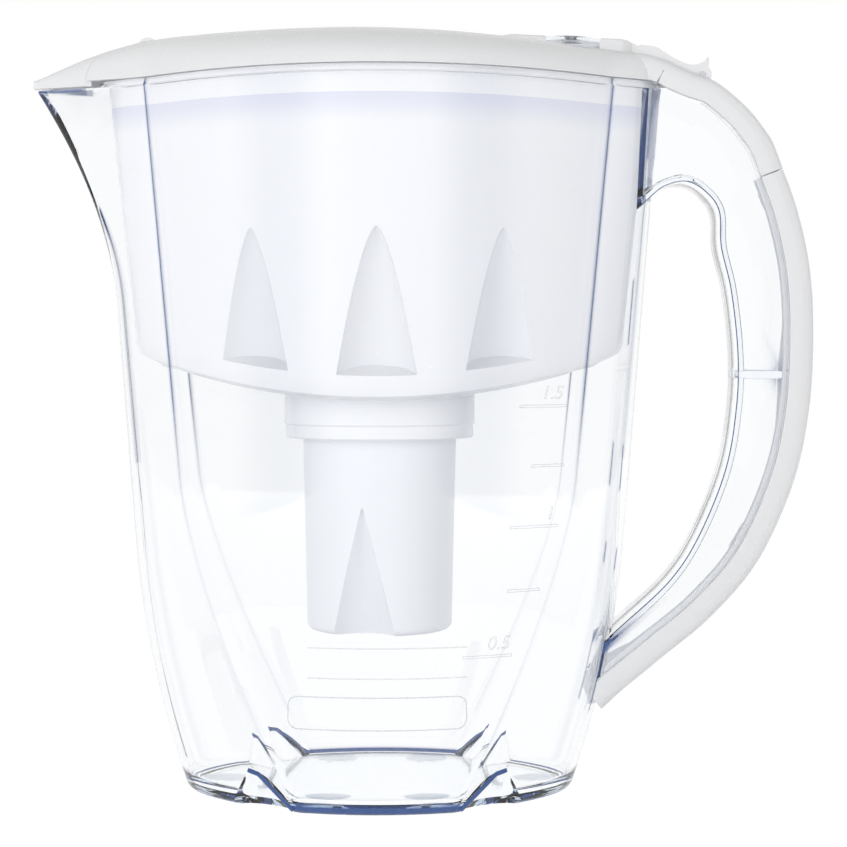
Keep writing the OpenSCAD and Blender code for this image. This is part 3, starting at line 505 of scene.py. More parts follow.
def make_jug():
    """The jug with its handle's channel, its room, its foot's notches and its pad seats."""
    rings = jug_rings(0, 0, FOOT_ROUND, 5, creased, FOOT_ROUND)
    for a in arc(4):
        z = RIM_Z - RIM_ROUND * (1 - sin(a))
        rings.append(at_height(creased(z, RIM_ROUND * (1 - cos(a))), z))
    jug = join_on(loft("jug", rings), make_channel())

    rings = jug_rings(JUG_FLOOR, JUG_WALL, ROOM_ROUND, 6, wall_inside, JUG_FLOOR + ROOM_ROUND + 1)
    for a in arc(4):
        z = RIM_Z - MOUTH_ROUND * (1 - sin(a))
        rings.append(at_height(wall_inside(z, JUG_WALL - MOUTH_ROUND * (1 - cos(a))), z))
    rings.append(at_height(wall_inside(RIM_Z, JUG_WALL - MOUTH_ROUND), RIM_Z + CUT))
    room = cut_away(loft("room", rings), *foot_notches(JUG_WALL))
    cut_away(jug, *foot_notches(0))

    lip, lip_top = section(RIM_Z, 0), RIM_Z + RIM_LIP_H
    join_on(jug, loft("rim lip", [at_height(lip, RIM_Z - 1), at_height(lip, lip_top - 0.4),
                                  at_height(inset(lip, 0.3), lip_top)]))
    cut_away(jug, room, column("lip room", inset(lip, RIM_LIP_T), RIM_Z - 0.3, lip_top + CUT))
    pads = [(sx * PAD_X, sy * (half_w(0) - PAD_SIDE_IN)) for sx, sy in CORNERS]
    pads += [(sx * (half_l(0) - PAD_END_IN), 0) for sx in (-1, 1)]
    cut_away(jug, *[rod("pad seat", PAD_D / 2, -CUT, PAD_T, at, 48) for at in pads])
    # painted shade: each point gets a share of the painted dark blue along the jug's edges
    edge = jug.data.attributes.new("edge", "FLOAT", "POINT")
    for v in jug.data.vertices:
        edge.data[v.index].value = painted_edge_shade(*(c / MM for c in v.co))
    return shade(jug, 24)


def make_channel():
    """The handle's open channel with its cross rib."""
    half, far = HANDLE_W / 2 - CHANNEL_WALL, HANDLE_W
    channel = slab("channel", handle_side(COVER_DEPTH + REST_GAP, REST_GAP), HANDLE_W / 2)
    cut_away(channel, slab("opening", opening_side(0), far))
    hollow = slab("hollow", handle_side(-CUT, -CUT), half)
    cut_away(hollow, slab("web", opening_side(CHANNEL_WALL), far))
    rib = slab("rib", handle_side(COVER_DEPTH + REST_GAP + COVER_LIP, REST_GAP), half + 1)
    low = RIM_Z - RIB_DROP
    boolean(rib, brick("rib band", (INSIDE_X, -far, low), (2 * RIM_HALF_L, far, low + RIB_T)),
            "INTERSECT")
    cut_away(rib, slab("rib end", opening_side(CHANNEL_WALL - 0.1), far))
    cut_away(channel, hollow)
    soften(rib, 0.6, 3, 40)
    soften(channel, 0.8, 3, 50)
    return join_on(channel, rib)


def painted_edge_shade(x, y, z):
    """How far a point of the jug is painted dark blue: painted shade for the dark lines that its
    thick edges, creases and handle joints refract, over the plastic's own blue.
    """
    handle, beak = x > 60, x < -RIM_HALF_L - 3
    x, y = abs(x), abs(y)
    out = y - side_y(x, z) if x < crease_x(z) else x - end_x(y, z)
    half, rib = HANDLE_W / 2, RIM_Z - RIB_DROP
    middle = x < 30
    if z < FOOT_ROUND + (0.2 if middle else -0.1):      # the foot's rounding
        return 1.0 if out > -FOOT_ROUND - 0.1 and z > 0.15 and (middle or z < 1.2) else 0.0
    if hypot(x - crease_x(z), y - crease_y(z)) < CREASE_BEAD + 0.25:      # creases
        if z > TUCK_Z:
            return 0.7 + 0.3 * min(1, (z - TUCK_Z) / 50)
        return 0.7 if z > NOTCH_H else 0.0
    if handle and x > RIM_HALF_L - 10 and y > half - 0.7:   # round the finger opening
        off = min(hypot(x - px, z - pz) for px, pz in OPENING_CURVE)
        return 0.95 if hypot(off, half - y) < 0.5 else 0.0
    if handle and y < 6 and z > RIM_Z - 40 and -3.2 < out < -1.5:   # behind the handle's root
        return 0.93
    if handle and abs(x - end_x(y, z)) < 0.2 and abs(y - half) < 0.4:   # the root's own corner
        return 1.0
    off = min(abs(z - rib), abs(z - rib - RIB_T))
    if x > RIM_HALF_L + 10 and 9 < y < 10.2 and off < 0.35:     # the handle's cross rib
        return 0.86
    return 0.9 if beak and z > RIM_Z - 1.2 else 0.0


# ---- grip cover
def back_profile(w, d, depth):
    """Rounded back of half width w down to a depth, its crown lowered by d."""
    right = smooth([(0, d), (w - 4.2, d + 0.5), (w - 1.2, d + 2), (w, d + 4.6)], 5)
    return [(-y, t) for y, t in [(w, depth)] + right[::-1]][:-1] + right + [(w, depth)]


def back_sweep(name, curve, profile, share=lambda i, y: 1.0):
    """Sweeps a profile of (across, depth) along a curve, with a share of its depth kept."""
    rings = []
    for i, (p, q) in enumerate(zip(curve, shifted(curve, -1))):
        depths = [(y, t * share(i, y)) for y, t in profile]
        rings.append([(p[0] + (q[0] - p[0]) * k, y, p[1] + (q[1] - p[1]) * k) for y, k in depths])
    return loft(name, rings)


FAR = 60.0             # deeper than any wall


def jug_depth(p, n, y):
    """How far the jug's end lies from p along n, at y across."""
    low, high = 0.0, FAR
    for _ in range(16):
        t = (low + high) / 2
        x, z = p[0] + n[0] * t, p[1] + n[1] * t
        if x < end_x(y, z):
            high = t
        else:
            low = t
    return low


def make_handle_cover():
    w, skin = HANDLE_W / 2, COVER_SKIN
    lip = w - CHANNEL_WALL - 0.15
    room, deep = lip - CHANNEL_WALL, COVER_DEPTH + COVER_LIP
    right = [(lip, COVER_DEPTH - 0.15), (lip, deep), (room, deep), (room, skin + 2),
             (room - 2.5, skin + 0.5)]
    profile = back_profile(w, 0, COVER_DEPTH) + right + [(0, skin)]
    profile += [(-y, t) for y, t in reversed(right)]
    depths = []
    for p, q in zip(COVER_CURVE, shifted(COVER_CURVE, -1)):
        n = (q[0] - p[0], q[1] - p[1])
        depths.append([FAR, FAR] if p[1] > RIM_Z / 2 else
                      [jug_depth(p, n, y) - REST_GAP for y in (w, w - 2 * CHANNEL_WALL)])
    kept = [p for p, d in zip(COVER_CURVE, depths) if d[1] > 3]

    def share(i, y):
        if abs(y) > w - CHANNEL_WALL:
            return min(1, depths[i][0] / COVER_DEPTH)
        return min(1, depths[i][1] / deep)
    return shade(back_sweep("grip cover", kept, profile, share), 40)


# ---- hopper
HOPPER_END = half_l(RIM_Z) - JUG_WALL - HOPPER_GAP
HOPPER_SECTION_Z = HOPPER_LOW + HOPPER_BOW
HOPPER_EDGE = 4.0


def floor_z(x):
    return HOPPER_LOW + HOPPER_BOW * (x / HOPPER_END) ** 2


def hopper_gap_at(v):
    return JUG_WALL + HOPPER_GAP + HOPPER_DRAFT * (1 - v)


def hopper_ring(v, d):
    """The hopper's plan at a share v of its height, moved in by d."""
    z = HOPPER_SECTION_Z + v * (RIM_Z - HOPPER_SECTION_Z)
    return inset(section(z, 0), hopper_gap_at(v) + d)


def hopper_floor(d, lift):
    """Rings from the middle of the hopper's floor out to the edge where its wall starts."""
    foot = hopper_ring(0, d)
    rings = [[(0, 0, HOPPER_LOW + lift) for p in foot]]
    for k in (0.25, 0.5, 0.65, 0.78, 0.88, 0.93, 0.965, 0.985):
        rings.append([(x * k, y * k, floor_z(x * k) + lift + HOPPER_EDGE * 0.5 * k ** 12)
                      for x, y in foot])
    return rings + [[(x, y, floor_z(x) + lift + HOPPER_EDGE) for x, y in foot]]


def hopper_wall_ring(v, d, lift=0.0):
    return [(x, y, (1 - v) * (floor_z(x) + lift + HOPPER_EDGE) + v * RIM_Z)
            for x, y in hopper_ring(v, d)]


def hopper_rings(d, lift, top):
    walls = [hopper_wall_ring(v, d, lift) for v in span(0, 1, 16)[1:-1]]
    return hopper_floor(d, lift) + walls + [at_height(hopper_ring(1, d), top)]


def hopper_flutes(grow):
    """Ogive cutters that flute the hopper's two long walls, grown for the inside."""
    tall = FLUTE_TOP - HOPPER_LOW
    drops = [tall + 10, 50, 40, 32, 26, 21, 16, 12, 9, 6.5, 4, 2, 1, 0.3]
    profile = [(FLUTE_R * (h / tall) ** 0.65 + grow, FLUTE_TOP - h) for h in drops]
    profile += [(grow, FLUTE_TOP)] * (grow > 0) + [(0, FLUTE_TOP + grow)]
    out = []
    for x in (-FLUTE_PITCH, 0, FLUTE_PITCH):
        for s in (-1, 1):
            y = s * (side_y(x, FLUTE_TOP) - hopper_gap_at(0.4))
            out.append(moved(turned("flute", profile, 96), (x, y, 0)))
    return out


def make_hopper():
    hopper = loft("hopper body", hopper_rings(0, 0, RIM_Z + 0.01))
    cut_away(hopper, *hopper_flutes(0))
    chin = CHIN_H / (RIM_Z - HOPPER_LOW)
    join_on(hopper, loft("chin", hopper_floor(0, 0) + [hopper_wall_ring(chin, 0)]))
    soft, step, step_z = 0.4, 0.5, SOCKET_Z + 4.4
    low_r, top = SOCKET_R - step, HOPPER_LOW + 6
    flange = [at_height(inset(section(RIM_Z, 0), d + (RIM_LIP_T + REST_GAP)), z) for d, z in
              ((soft, RIM_Z), (0, RIM_Z + soft), (0, HOPPER_TOP - soft), (soft, HOPPER_TOP))]
    socket = [(0, SOCKET_Z), (low_r - soft, SOCKET_Z), (low_r, SOCKET_Z + soft), (low_r, step_z),
              (SOCKET_R, step_z + step), (SOCKET_R, top), (0, top)]
    join_on(hopper, loft("flange", flange), turned("socket", socket))
    room = loft("hopper room", hopper_rings(HOPPER_WALL, HOPPER_WALL, HOPPER_TOP + CUT))
    cut_away(room, *hopper_flutes(HOPPER_WALL))
    inner, hole = SOCKET_R - SOCKET_WALL, BARREL_TOP_R + 0.4
    cut_away(hopper, room, rod("socket room", inner, SOCKET_Z + LIP_T, 165),
             rod("socket hole", hole, SOCKET_Z - CUT, 160))
    return shade(hopper, 30)


# ---- cartridge
SEAT_Z = SOCKET_Z + LIP_T
HEAD_R = SOCKET_R - SOCKET_WALL - 0.6
NECK_R = BARREL_TOP_R - 0.8
NECK_TOP = SEAT_Z + HEAD_T + SEAL_T + 0.4


def make_barrel():
    r, z, soft = BARREL_LOW_R, BARREL_Z, 0.3
    foot = z + 2.9
    profile = [(0, z), (r - 3.2, z), (r - 2.2, z + 0.1), (r - 1.2, z + 0.45), (r - 0.5, z + 1.1),
               (r - 0.1, z + 1.9), (r, foot)]
    profile += [(r + (BARREL_TOP_R - r) * k, foot + (SEAT_Z - z - 2.9) * k)
                for k in span(0, 1, 8)[1:]]
    head = SEAT_Z + HEAD_T
    profile += [(HEAD_R - soft, SEAT_Z), (HEAD_R, SEAT_Z + soft), (HEAD_R, head - soft),
                (HEAD_R - soft, head), (NECK_R, head), (NECK_R, NECK_TOP), (0, NECK_TOP)]
    barrel = turned("filter barrel", profile, 160)
    for turn in (-90, 90):
        cut_away(barrel, rod("barrel flute", BARREL_FLUTE_R * (1 + CUT / BARREL_FLUTE_H), z - CUT,
                             z + BARREL_FLUTE_H, on_circle(r + 0.5, turn + BARREL_TURN), 128, 0.02))
    for turn in range(0, 360, 45):
        cut_away(barrel, rod("outlet", OUTLET_R, z - CUT, z + 1.6, on_circle(OUTLET_AT, turn), 32))
    soften(barrel, 1.2, 4, 30)
    return shade(barrel, 35)


# ---- lid
TIP_OVER, END_OVER = 0.8, 0.6
LID_TIP = RIM_HALF_L + SPOUT_REACH + TIP_OVER
LID_END = RIM_HALF_L + LID_OVER / 2
BEAK_ROOT = end_x(SPOUT_HALF_W, RIM_Z)
SPINE = smooth([(-LID_TIP, 0.9), (-LID_TIP + 3.4, 2.2), (-LID_TIP + 18, 8.2),
    (-LID_TIP + 32, 12.4), (-0.79 * RIM_HALF_L, 14.2), (-0.6 * RIM_HALF_L, 15.1),
    (-0.31 * RIM_HALF_L, 15.7), (-0.05 * RIM_HALF_L, 15.8), (0.21 * RIM_HALF_L, 15),
    (0.47 * RIM_HALF_L, 13.4), (RIM_HALF_L - 31, 11.8), (RIM_HALF_L - 16, 10.7),
    (RIM_HALF_L - 6, 9.8), (RIM_HALF_L + 1, 7.7)], 8)


def spine_z(x):
    return HOPPER_TOP + lookup(x, SPINE)


def lid_w(x):
    """Half width of the lid at a place along it."""
    c = crease_x(RIM_Z)
    if abs(x) < c:
        return side_y(x, RIM_Z) + LID_OVER
    left = max(0.01, 1 - (abs(x) - c) / (LID_END + END_OVER - c))
    end = (crease_y(RIM_Z) + LID_OVER) * sqrt(left)
    beak = SPOUT_HALF_W * (1 - (-x - BEAK_ROOT) / (LID_TIP - TIP_OVER - BEAK_ROOT)) + LID_OVER
    return end if x > 0 else max(end, beak)


# the dome's places across, the height of its crown there, and its places along
ACROSS = [sin(radians(a)) for a in range(90, -91, -5)]
CROWN = [sqrt(max(0.0, 1 - abs(u) ** 3.5)) for u in ACROSS]
ALONG = [-LID_TIP + (LID_TIP - BEAK_ROOT) * k ** 1.3 for k in span(0, 1, 14)]
ALONG += [BEAK_ROOT * sin(radians(t * 0.8)) / sin(radians(72)) for t in span(-90, 90, 72)[1:-1]]
ALONG += [BEAK_ROOT + (LID_END - BEAK_ROOT) * sqrt(k) for k in span(0, 1, 12)]


def dome(name, d=0, skirt=0, raise_by=0.0):
    """The lid's dome as one solid, moved in by d, with a straight skirt under it."""
    rings = []
    for x in ALONG:
        w, rise = lid_w(x) - d, spine_z(x) - d - HOPPER_TOP
        if w > 0.7 and rise > 0.4:
            ring = [(x, w * u, HOPPER_TOP + raise_by + rise * c) for u, c in zip(ACROSS, CROWN)]
            base = HOPPER_TOP - skirt + raise_by
            rings.append([(x, w, base)] + ring + [(x, -w, base)] if skirt > 0 else ring)
    return loft(name, rings)


def leaf(g, h):
    """The fill flap's plan, grown by g all round and by h at its handle end."""
    return [(FLAP_MID_X + h / 2 + (FLAP_HALF_L + g + h / 2) * cos(a),
             (FLAP_HALF_W + g) * sin(a)) for a in circle(120)]


def seam_x(y):
    return -LID_TIP + SEAM_IN - SEAM_BOW * (y / 10) ** 2


def spout_plan(g):
    """The spout flap's plan, with its seam moved towards the handle by g."""
    return ([(-LID_TIP - 5, 30), (-LID_TIP - 4, -30)]
            + [(seam_x(y) + g, y) for y in span(-14, 14, 40)])


def lid_prism(name, outline):
    return prism(name, outline, HOPPER_TOP - OVER_LID, HOPPER_TOP + OVER_LID)


OVER_LID = 30          # cutters of the lid reach this far up and down
HINGE = (RIM_HALF_L + HINGE_REACH, RIM_Z + HINGE_RISE)
SPOUT_HINGE = (-LID_TIP + SPOUT_HINGE_IN, HOPPER_TOP + SPOUT_HINGE_RISE)
KNUCKLE_R, POST_R, POST_W = 3.2, 2.4, 9.0
EAR_R, SPOUT_KNUCKLE_R, SPOUT_KNUCKLE_W, EAR_SPAN = 3.6, 2.8, 8.0, 16.0
GROOVE = 1.8


def tail_side(d0, d1, x0, x1):
    """Side view of a layer under the tail's back, between two depths and two places."""
    top, low = [[p for p in shifted(TAIL_TOP, -d) if x0 <= p[0] <= x1] for d in (d0, d1)]
    return top + low[::-1]


def lid_rib():
    """The ring under the lid that stands inside the hopper's mouth."""
    d, low = hopper_gap_at(1) + HOPPER_WALL + LID_RIB_GAP, HOPPER_TOP - LID_RIB_H
    outer, inner = [inset(section(RIM_Z, 0), v) for v in (d, d + LID_RIB_T)]
    return cut_away(column("lid rib", outer, low, HOPPER_TOP + 4),
                    column("lid rib room", inner, low - CUT, HOPPER_TOP + 6))


def make_lid():
    lid = dome("lid")
    cut_away(lid, dome("lid room", LID_SKIN, CUT), lid_prism("leaf hole", leaf(FLAP_GAP, 1)),
             lid_prism("spout gap", spout_plan(FLAP_GAP)))
    drop = -FLAP_T - LEDGE_GAP
    ledge = cut_away(dome("ledge", raise_by=drop), dome("ledge room", raise_by=drop - LEDGE_T))
    boolean(ledge, lid_prism("ledge plan", leaf(FLAP_GAP + LEDGE_OUT, 1)), "INTERSECT")
    cut_away(ledge, lid_prism("ledge hole", leaf(-LEDGE_W, 0)))
    tail = back_sweep("tail", TAIL_TOP, back_profile(HANDLE_W / 2, 0, COVER_DEPTH))
    half, rim = HANDLE_W / 2 - CHANNEL_WALL, inset(section(RIM_Z, 0), -FLANGE_OUT - REST_GAP)
    cut_away(tail, back_sweep("tail room", TAIL_TOP,
                              back_profile(half, LID_SKIN, COVER_DEPTH + CUT)),
             dome("tail end", LID_SKIN, CUT), lid_prism("tail at the leaf", leaf(FLAP_GAP, 1)),
             column("rim room", rim, RIM_Z - 2 * COVER_DEPTH, HOPPER_TOP))
    seat = slab("hinge seat", tail_side(LID_SKIN - 0.4, HINGE_SEAT_DEEP, RIM_HALF_L - HINGE_SEAT_IN,
                                        RIM_HALF_L + HINGE_SEAT_OUT), half + 0.1)
    join_on(lid, ledge, tail, seat, lid_rib(),
            cross_rod("spout ears", SPOUT_HINGE, EAR_R, EAR_SPAN))
    half = LEVER_W / 2 + FLAP_GAP
    knuckle, room = SPOUT_KNUCKLE_W / 2 + FLAP_GAP, SPOUT_KNUCKLE_R + FLAP_GAP
    x, z = SPOUT_HINGE
    cut_away(lid, slab("lever groove", tail_side(-20, GROOVE, RIM_HALF_L - 11, HINGE[0]), half),
             cross_rod("knuckle room", HINGE, KNUCKLE_R + 2 * FLAP_GAP, 2 * half),
             cross_rod("spout knuckle room", SPOUT_HINGE, room, 2 * knuckle),
             brick("spout slot", (x - 12, -knuckle, z - room), (x + 2, knuckle, z + 20)))
    x, z = HINGE
    join_on(lid, cross_rod("hinge post", HINGE, POST_R, POST_W),
            brick("post foot", (x - POST_R, -POST_W / 2, z - 6), (x + POST_R, POST_W / 2, z)))
    soften(lid, 0.35, 2, 40)
    return shade(lid, 30)


def make_spout_flap():
    lower = HOPPER_TOP - RIM_Z - 0.5
    flap = dome("spout flap", 0, lower)
    cut_away(flap, dome("flap room", FLAP_T, lower + CUT),
             brick("flange room", (-RIM_HALF_L - 1.5, -50, HOPPER_TOP - 10), (0, 50, HOPPER_TOP)))
    boolean(flap, lid_prism("spout plan", spout_plan(-0.4)), "INTERSECT")
    x, (pin_x, pin_z) = seam_x(0) - 6, SPOUT_HINGE
    arm = slab("arm", [(x, spine_z(x) - 0.4), (x, spine_z(x) - 3.6),
                       (pin_x, pin_z - SPOUT_KNUCKLE_R), (pin_x, pin_z + SPOUT_KNUCKLE_R)],
               SPOUT_KNUCKLE_W / 2)
    join_on(flap, arm, cross_rod("knuckle", SPOUT_HINGE, SPOUT_KNUCKLE_R, SPOUT_KNUCKLE_W))
    cut_away(flap, cross_rod("pin hole", SPOUT_HINGE, PIN_R + PIN_FIT, SPOUT_KNUCKLE_W + 2))
    soften(flap, 0.5, 3, 40)
    return shade(flap, 30)


PLATEAU_HALF = 10.0
DIAL_SEAT = (DIAL_X, 0.0, HOPPER_TOP + DIAL_RISE)


def from_hinge(points):
    return [(HINGE[0] + x, HINGE[1] + z) for x, z in points]


LEVER_TOP = smooth(from_rim([(-13, 12), (-11, 13.6), (-7.5, 14.8), (-5, 14.8), (-1.7, 14.1),
    (3.5, 10.9), (7, 9.1)]) + from_hinge([(-3.5, 3.4), (-0.3, 4), (2.2, 6.2)]), 6)


def on_dial(ob):
    """Leans a piece made about the origin and sets it on the dial's seat."""
    ob.rotation_euler = (0, radians(DIAL_LEAN), 0)
    return moved(ob, DIAL_SEAT)


def dial_rod(name, r, z0, z1, steps=96):
    return on_dial(rod(name, r, z0, z1, (0, 0), steps))


def make_flip_lid():
    flap = dome("fill flap")
    cut_away(flap, dome("flap under", raise_by=-FLAP_T))
    boolean(flap, lid_prism("leaf plan", leaf(0, 0)), "INTERSECT")
    hump = ((-27.5, -1), (-26, 0.6), (-24, 1.7), (-21.5, 2.4), (-18.5, 2.6), (-15.5, 2.65),
            (0.5, 3.2), (16.5, 3.6), (19, 3.35), (21.5, 2.6), (24.5, 1), (22.5, -1))
    plateau = slab("plateau", [(DIAL_X + x, spine_z(DIAL_X + x) + up) for x, up in hump],
                   PLATEAU_HALF)
    soften(plateau, 1.0, 3, 50)
    half = LEVER_W / 2
    ground = lid_prism("plateau ground", leaf(0, 0))
    join_on(ground, brick("lever ground", (DIAL_X, -half, HOPPER_TOP),
                          (DIAL_X + PLATEAU_HALF + 12, half, HOPPER_TOP + 30)))
    boolean(plateau, ground, "INTERSECT")
    lever_low = [p for p in shifted(TAIL_TOP, REST_GAP - GROOVE)
                 if RIM_HALF_L - 10.4 < p[0] < HINGE[0] - 2]
    lever = slab("thumb lever", LEVER_TOP + from_hinge([(2.2, -0.4), (0, -2)]) + lever_low[::-1],
                 half)
    soften(lever, 0.7, 3, 50)
    join_on(flap, plateau, dial_rod("dial base", DIAL_R, 0.4 - FLAP_T, 0),
            dial_rod("boss", DIAL_BOSS_R, -DIAL_BOSS_DEEP, 0), lever,
            cross_rod("lever knuckle", HINGE, KNUCKLE_R, LEVER_W))
    gap = 0.4
    room = POST_R + gap
    slot = from_hinge([(-room, 0), (-room, -8), (8, -8), (8, room), (0, room)])
    cut_away(flap, cross_rod("post room", HINGE, room, POST_W + 2 * gap),
             slab("post slot", slot, POST_W / 2 + gap),
             cross_rod("lever bore", HINGE, PIN_R, LEVER_W + 2),
             dial_rod("dial pocket", DIAL_R + FLAP_GAP, 0, 20),
             dial_rod("dial bore", DIAL_PIN_R + PIN_FIT, -10, 10, 48))
    soften(flap, 0.3, 2, 40)
    return shade(flap, 30)


# ---- marks
MARK_RISE, MARK_SINK = 0.16, 0.04


def border(width):
    bpy.ops.mesh.inset(thickness=width * MM, depth=0)
    bpy.ops.mesh.delete(type="FACE")


def raised_mark(ob, line, x, z, cuts=()):
    """Makes a flat shape a thin raised border and wraps it onto the jug's front wall."""
    edited(ob, (bpy.ops.mesh.remove_doubles, {"threshold": 1e-6}),
           (bpy.ops.mesh.dissolve_limited, {"angle_limit": 0.01}), (border, {"width": line}),
           (bpy.ops.mesh.extrude_region_move,
            {"TRANSFORM_OT_translate": {"value": (0, 0, MARK_RISE * MM)}}))
    edited(ob, *[(bpy.ops.mesh.bisect, {"plane_co": (at * MM, 0, 0), "plane_no": (1, 0, 0)})
                 for at in cuts])
    for v in ob.data.vertices:
        px, pz = x + v.co.x / MM, z + v.co.y / MM
        v.co = (px * MM, -(side_y(px, pz) - MARK_SINK + v.co.z / MM) * MM, pz * MM)
    ob.data.update()
    return edited(ob, FACE_OUT)


def bar(name, x, z, length, height, line, corner=0.0):
    """An outlined bar, cut into short spans so that it follows the wall."""
    corners, r, step = [], corner, 3
    for cx, cy, start in ((length - r, r, -90), (length - r, height - r, 0),
                          (r, height - r, 90), (r, r, 180)):
        for a in span(start, start + 90, 6) if r else [start]:
            px, py = on_circle(r, a)
            corners.append((cx + px, cy + py))
    cuts = [i * step for i in range(1, int(length / step))]
    return raised_mark(flat_shape(name, at_height(corners, 0)), line, x, z, cuts)


def lettering(name, text, **settings):
    ob = added(name, bpy.ops.object.text_add)
    for key, v in {"body": text, **settings}.items():
        setattr(ob.data, key, v)
    bpy.ops.object.convert(target="MESH")
    return bpy.context.object


def make_level_marks():
    marks = [bar("bar", x, z, length, 0.95, 0.2) for x, z, length in
             ((46.1, 130.4, 16), (49.9, 111.0, 11.2), (42.9, 91.3, 16), (42.0, 70.9, 10.8),
              (27.6, 50.2, 16))]
    for text, x, z in (("1.5", 53.1, 133.2), ("1", 54.6, 93.9), ("0.5", 35.2, 52.8)):
        numeral = lettering("numeral", text, size=4.5 * 1.38 * MM, shear=0.22, resolution_u=5)
        marks.append(raised_mark(numeral, 0.17, x, z))
    return joined("level_marks", marks)


def make_front_lines():
    lines = [bar("label frame", -28.6, 27.7, 57.6, 10.9, 0.4, 3.2)]
    lines += [bar("line", -22, z, 51, 0.35, 0.12) for z in (44.3, 54.0)]
    return joined("front_lines", lines)


def make_dial_numbers():
    parts = []
    for k in range(12):
        ob = lettering("dial number", str(k + 1), size=3.1 * MM, align_x="CENTER",
                       align_y="CENTER", extrude=0.05 * MM, resolution_u=4)
        ob.rotation_euler = (0, 0, radians(-30 * k))
        parts.append(moved(ob, (*on_circle(DIAL_NUMBER_R, 90 - 30 * k), 0.86)))
    return on_dial(joined("dial_numbers", parts))


# ---- shader tools
def maths(operation, swapped=False):
    """A method that adds a Math node, with its own value second if swapped."""
    def method(self, other=None):
        n = self.tree.nodes.new("ShaderNodeMath")
        n.operation = operation
        for socket, v in zip(n.inputs, (other, self) if swapped else (self, other)):
            if v is not None:
                feed(self.tree, socket, v)
        return Value(self.tree, n.outputs[0])
    return method


class Value:
    """A socket whose arithmetic adds Math nodes."""
    __add__ = __radd__ = maths("ADD")
    __mul__ = __rmul__ = maths("MULTIPLY")
    __rsub__ = maths("SUBTRACT", True)
    __truediv__ = maths("DIVIDE")
    __pow__ = maths("POWER")
    __abs__ = maths("ABSOLUTE")
    above = maths("GREATER_THAN")
    largest = maths("MAXIMUM")

    def __init__(self, tree, socket):
        self.tree, self.socket = tree, socket


def feed(tree, socket, v):
    """Links a Value to a socket, or sets the socket to a number or a colour."""
    if isinstance(v, Value):
        tree.links.new(v.socket, socket)
    elif isinstance(v, tuple) and len(socket.default_value) == 4:
        socket.default_value = (*v, 1)
    else:
        socket.default_value = v


class Finish:
    """A material, or the world: make() adds any node and returns one of its outputs."""

    def __init__(self, name, kind="Material"):
        blocks = bpy.data.worlds if kind == "World" else bpy.data.materials
        self.block = blocks.new(name)
        self.block.use_nodes = True
        self.tree = self.block.node_tree
        self.tree.nodes.clear()
        self.out = self.tree.nodes.new("ShaderNodeOutput" + kind)

    def node(self, kind, settings=None, **inputs):
        n = self.tree.nodes.new("ShaderNode" + kind)
        for key, v in (settings or {}).items():
            setattr(n, key, v)
        for key, v in inputs.items():
            feed(self.tree, n.inputs[key.replace("_", " ")], v)
        return n

    def make(self, kind, settings=None, output=0, **inputs):
        return Value(self.tree, self.node(kind, settings, **inputs).outputs[output])

    def mix(self, kind, settings, output, feeds):
        n = self.node(kind, settings)
        for i, v in feeds.items():
            feed(self.tree, n.inputs[i], v)
        return Value(self.tree, n.outputs[output])

    def blend(self, share, a, b):
        """Mixes two colours."""
        return self.mix("Mix", {"data_type": "RGBA"}, 2, {0: share, 6: a, 7: b})

    def between(self, share, first, second):
        """Mixes two shaders."""
        return self.mix("MixShader", None, 0, {0: share, 1: first, 2: second})

    def places(self):
        return self.make("TexCoord", output="Object")

    def noise(self, scale, detail=2.0, rough=0.5):
        return self.make("TexNoise", Vector=self.places(), Scale=scale, Detail=detail,
                         Roughness=rough)

    def step(self, value, low, high):
        """A soft step from 0 to 1 between two values."""
        return self.make("MapRange", {"interpolation_type": "SMOOTHSTEP"}, Value=value,
                         From_Min=low, From_Max=high)

    def bump(self, height, strength, distance):
        return self.make("Bump", Height=height, Strength=strength, Distance=distance)

    def plastic(self, **inputs):
        return self.make("BsdfPrincipled", **inputs)

    def rays(self, *kinds):
        """One for a ray of any of these kinds, and nought for the others."""
        path = self.node("LightPath")
        share, *others = [Value(self.tree, path.outputs["Is %s Ray" % kind]) for kind in kinds]
        for other in others:
            share = share.largest(other)
        return share

    def seen(self):
        return self.rays("Camera", "Glossy", "Transmission")

    def painted_dark_edge(self, grain):
        """Painted shade for an edge of thick clear plastic: the dark lines it refracts, in the
        plastic's own blue.
        """
        return self.plastic(Base_Color=self.blend(grain, (0.035, 0.08, 0.24), (0.06, 0.12, 0.32)),
                            Roughness=0.15 + 0.1 * grain, IOR=1.5)

    def open_to(self, shader, share, tint):
        """Lets a share of the rays that light the inside pass straight through."""
        through = self.rays("Shadow", "Diffuse") * share
        return self.between(through, shader, self.make("BsdfTransparent", Color=tint))

    def surface(self, shader, volume=None):
        self.tree.links.new(shader.socket, self.out.inputs["Surface"])
        if volume is not None:
            self.tree.links.new(volume.socket, self.out.inputs["Volume"])
        return self.block


FINE = 260             # scale of the finest grain in the clear plastic
BAND_LOW, BAND_HIGH = RIM_Z - 17, RIM_Z - 6.5      # the shaded band below the hopper's rim


def clear_plastic():
    f = Finish("clear moulded plastic")
    flow, speck = f.noise(9, 1.5), f.noise(FINE)
    body = f.plastic(Base_Color=f.blend(flow, (0.985, 0.993, 1.0), (0.995, 0.998, 1.0)),
                     Roughness=0.012 + 0.02 * speck, IOR=1.5, Transmission_Weight=1.0,
                     Normal=f.bump(flow, 0.04, 0.001))
    # painted shade: the jug's edges blend to the painted dark blue by the edge attribute
    edge = f.make("Attribute", {"attribute_name": "edge"}, output=2)
    body = f.between(edge ** 6, body, f.painted_dark_edge(speck))
    tint = f.make("VolumeAbsorption", Color=(0.2, 0.55, 0.92), Density=3.5)
    return f.surface(f.open_to(body, 1.0, (0.985, 0.99, 1.0)), tint)


# painted shade: the dark blue of thick clear edges, put on the foot notches' rolled edges
def painted_dark_edge_plastic():
    f = Finish("painted dark edge of the clear plastic")
    return f.surface(f.painted_dark_edge(f.noise(FINE)))


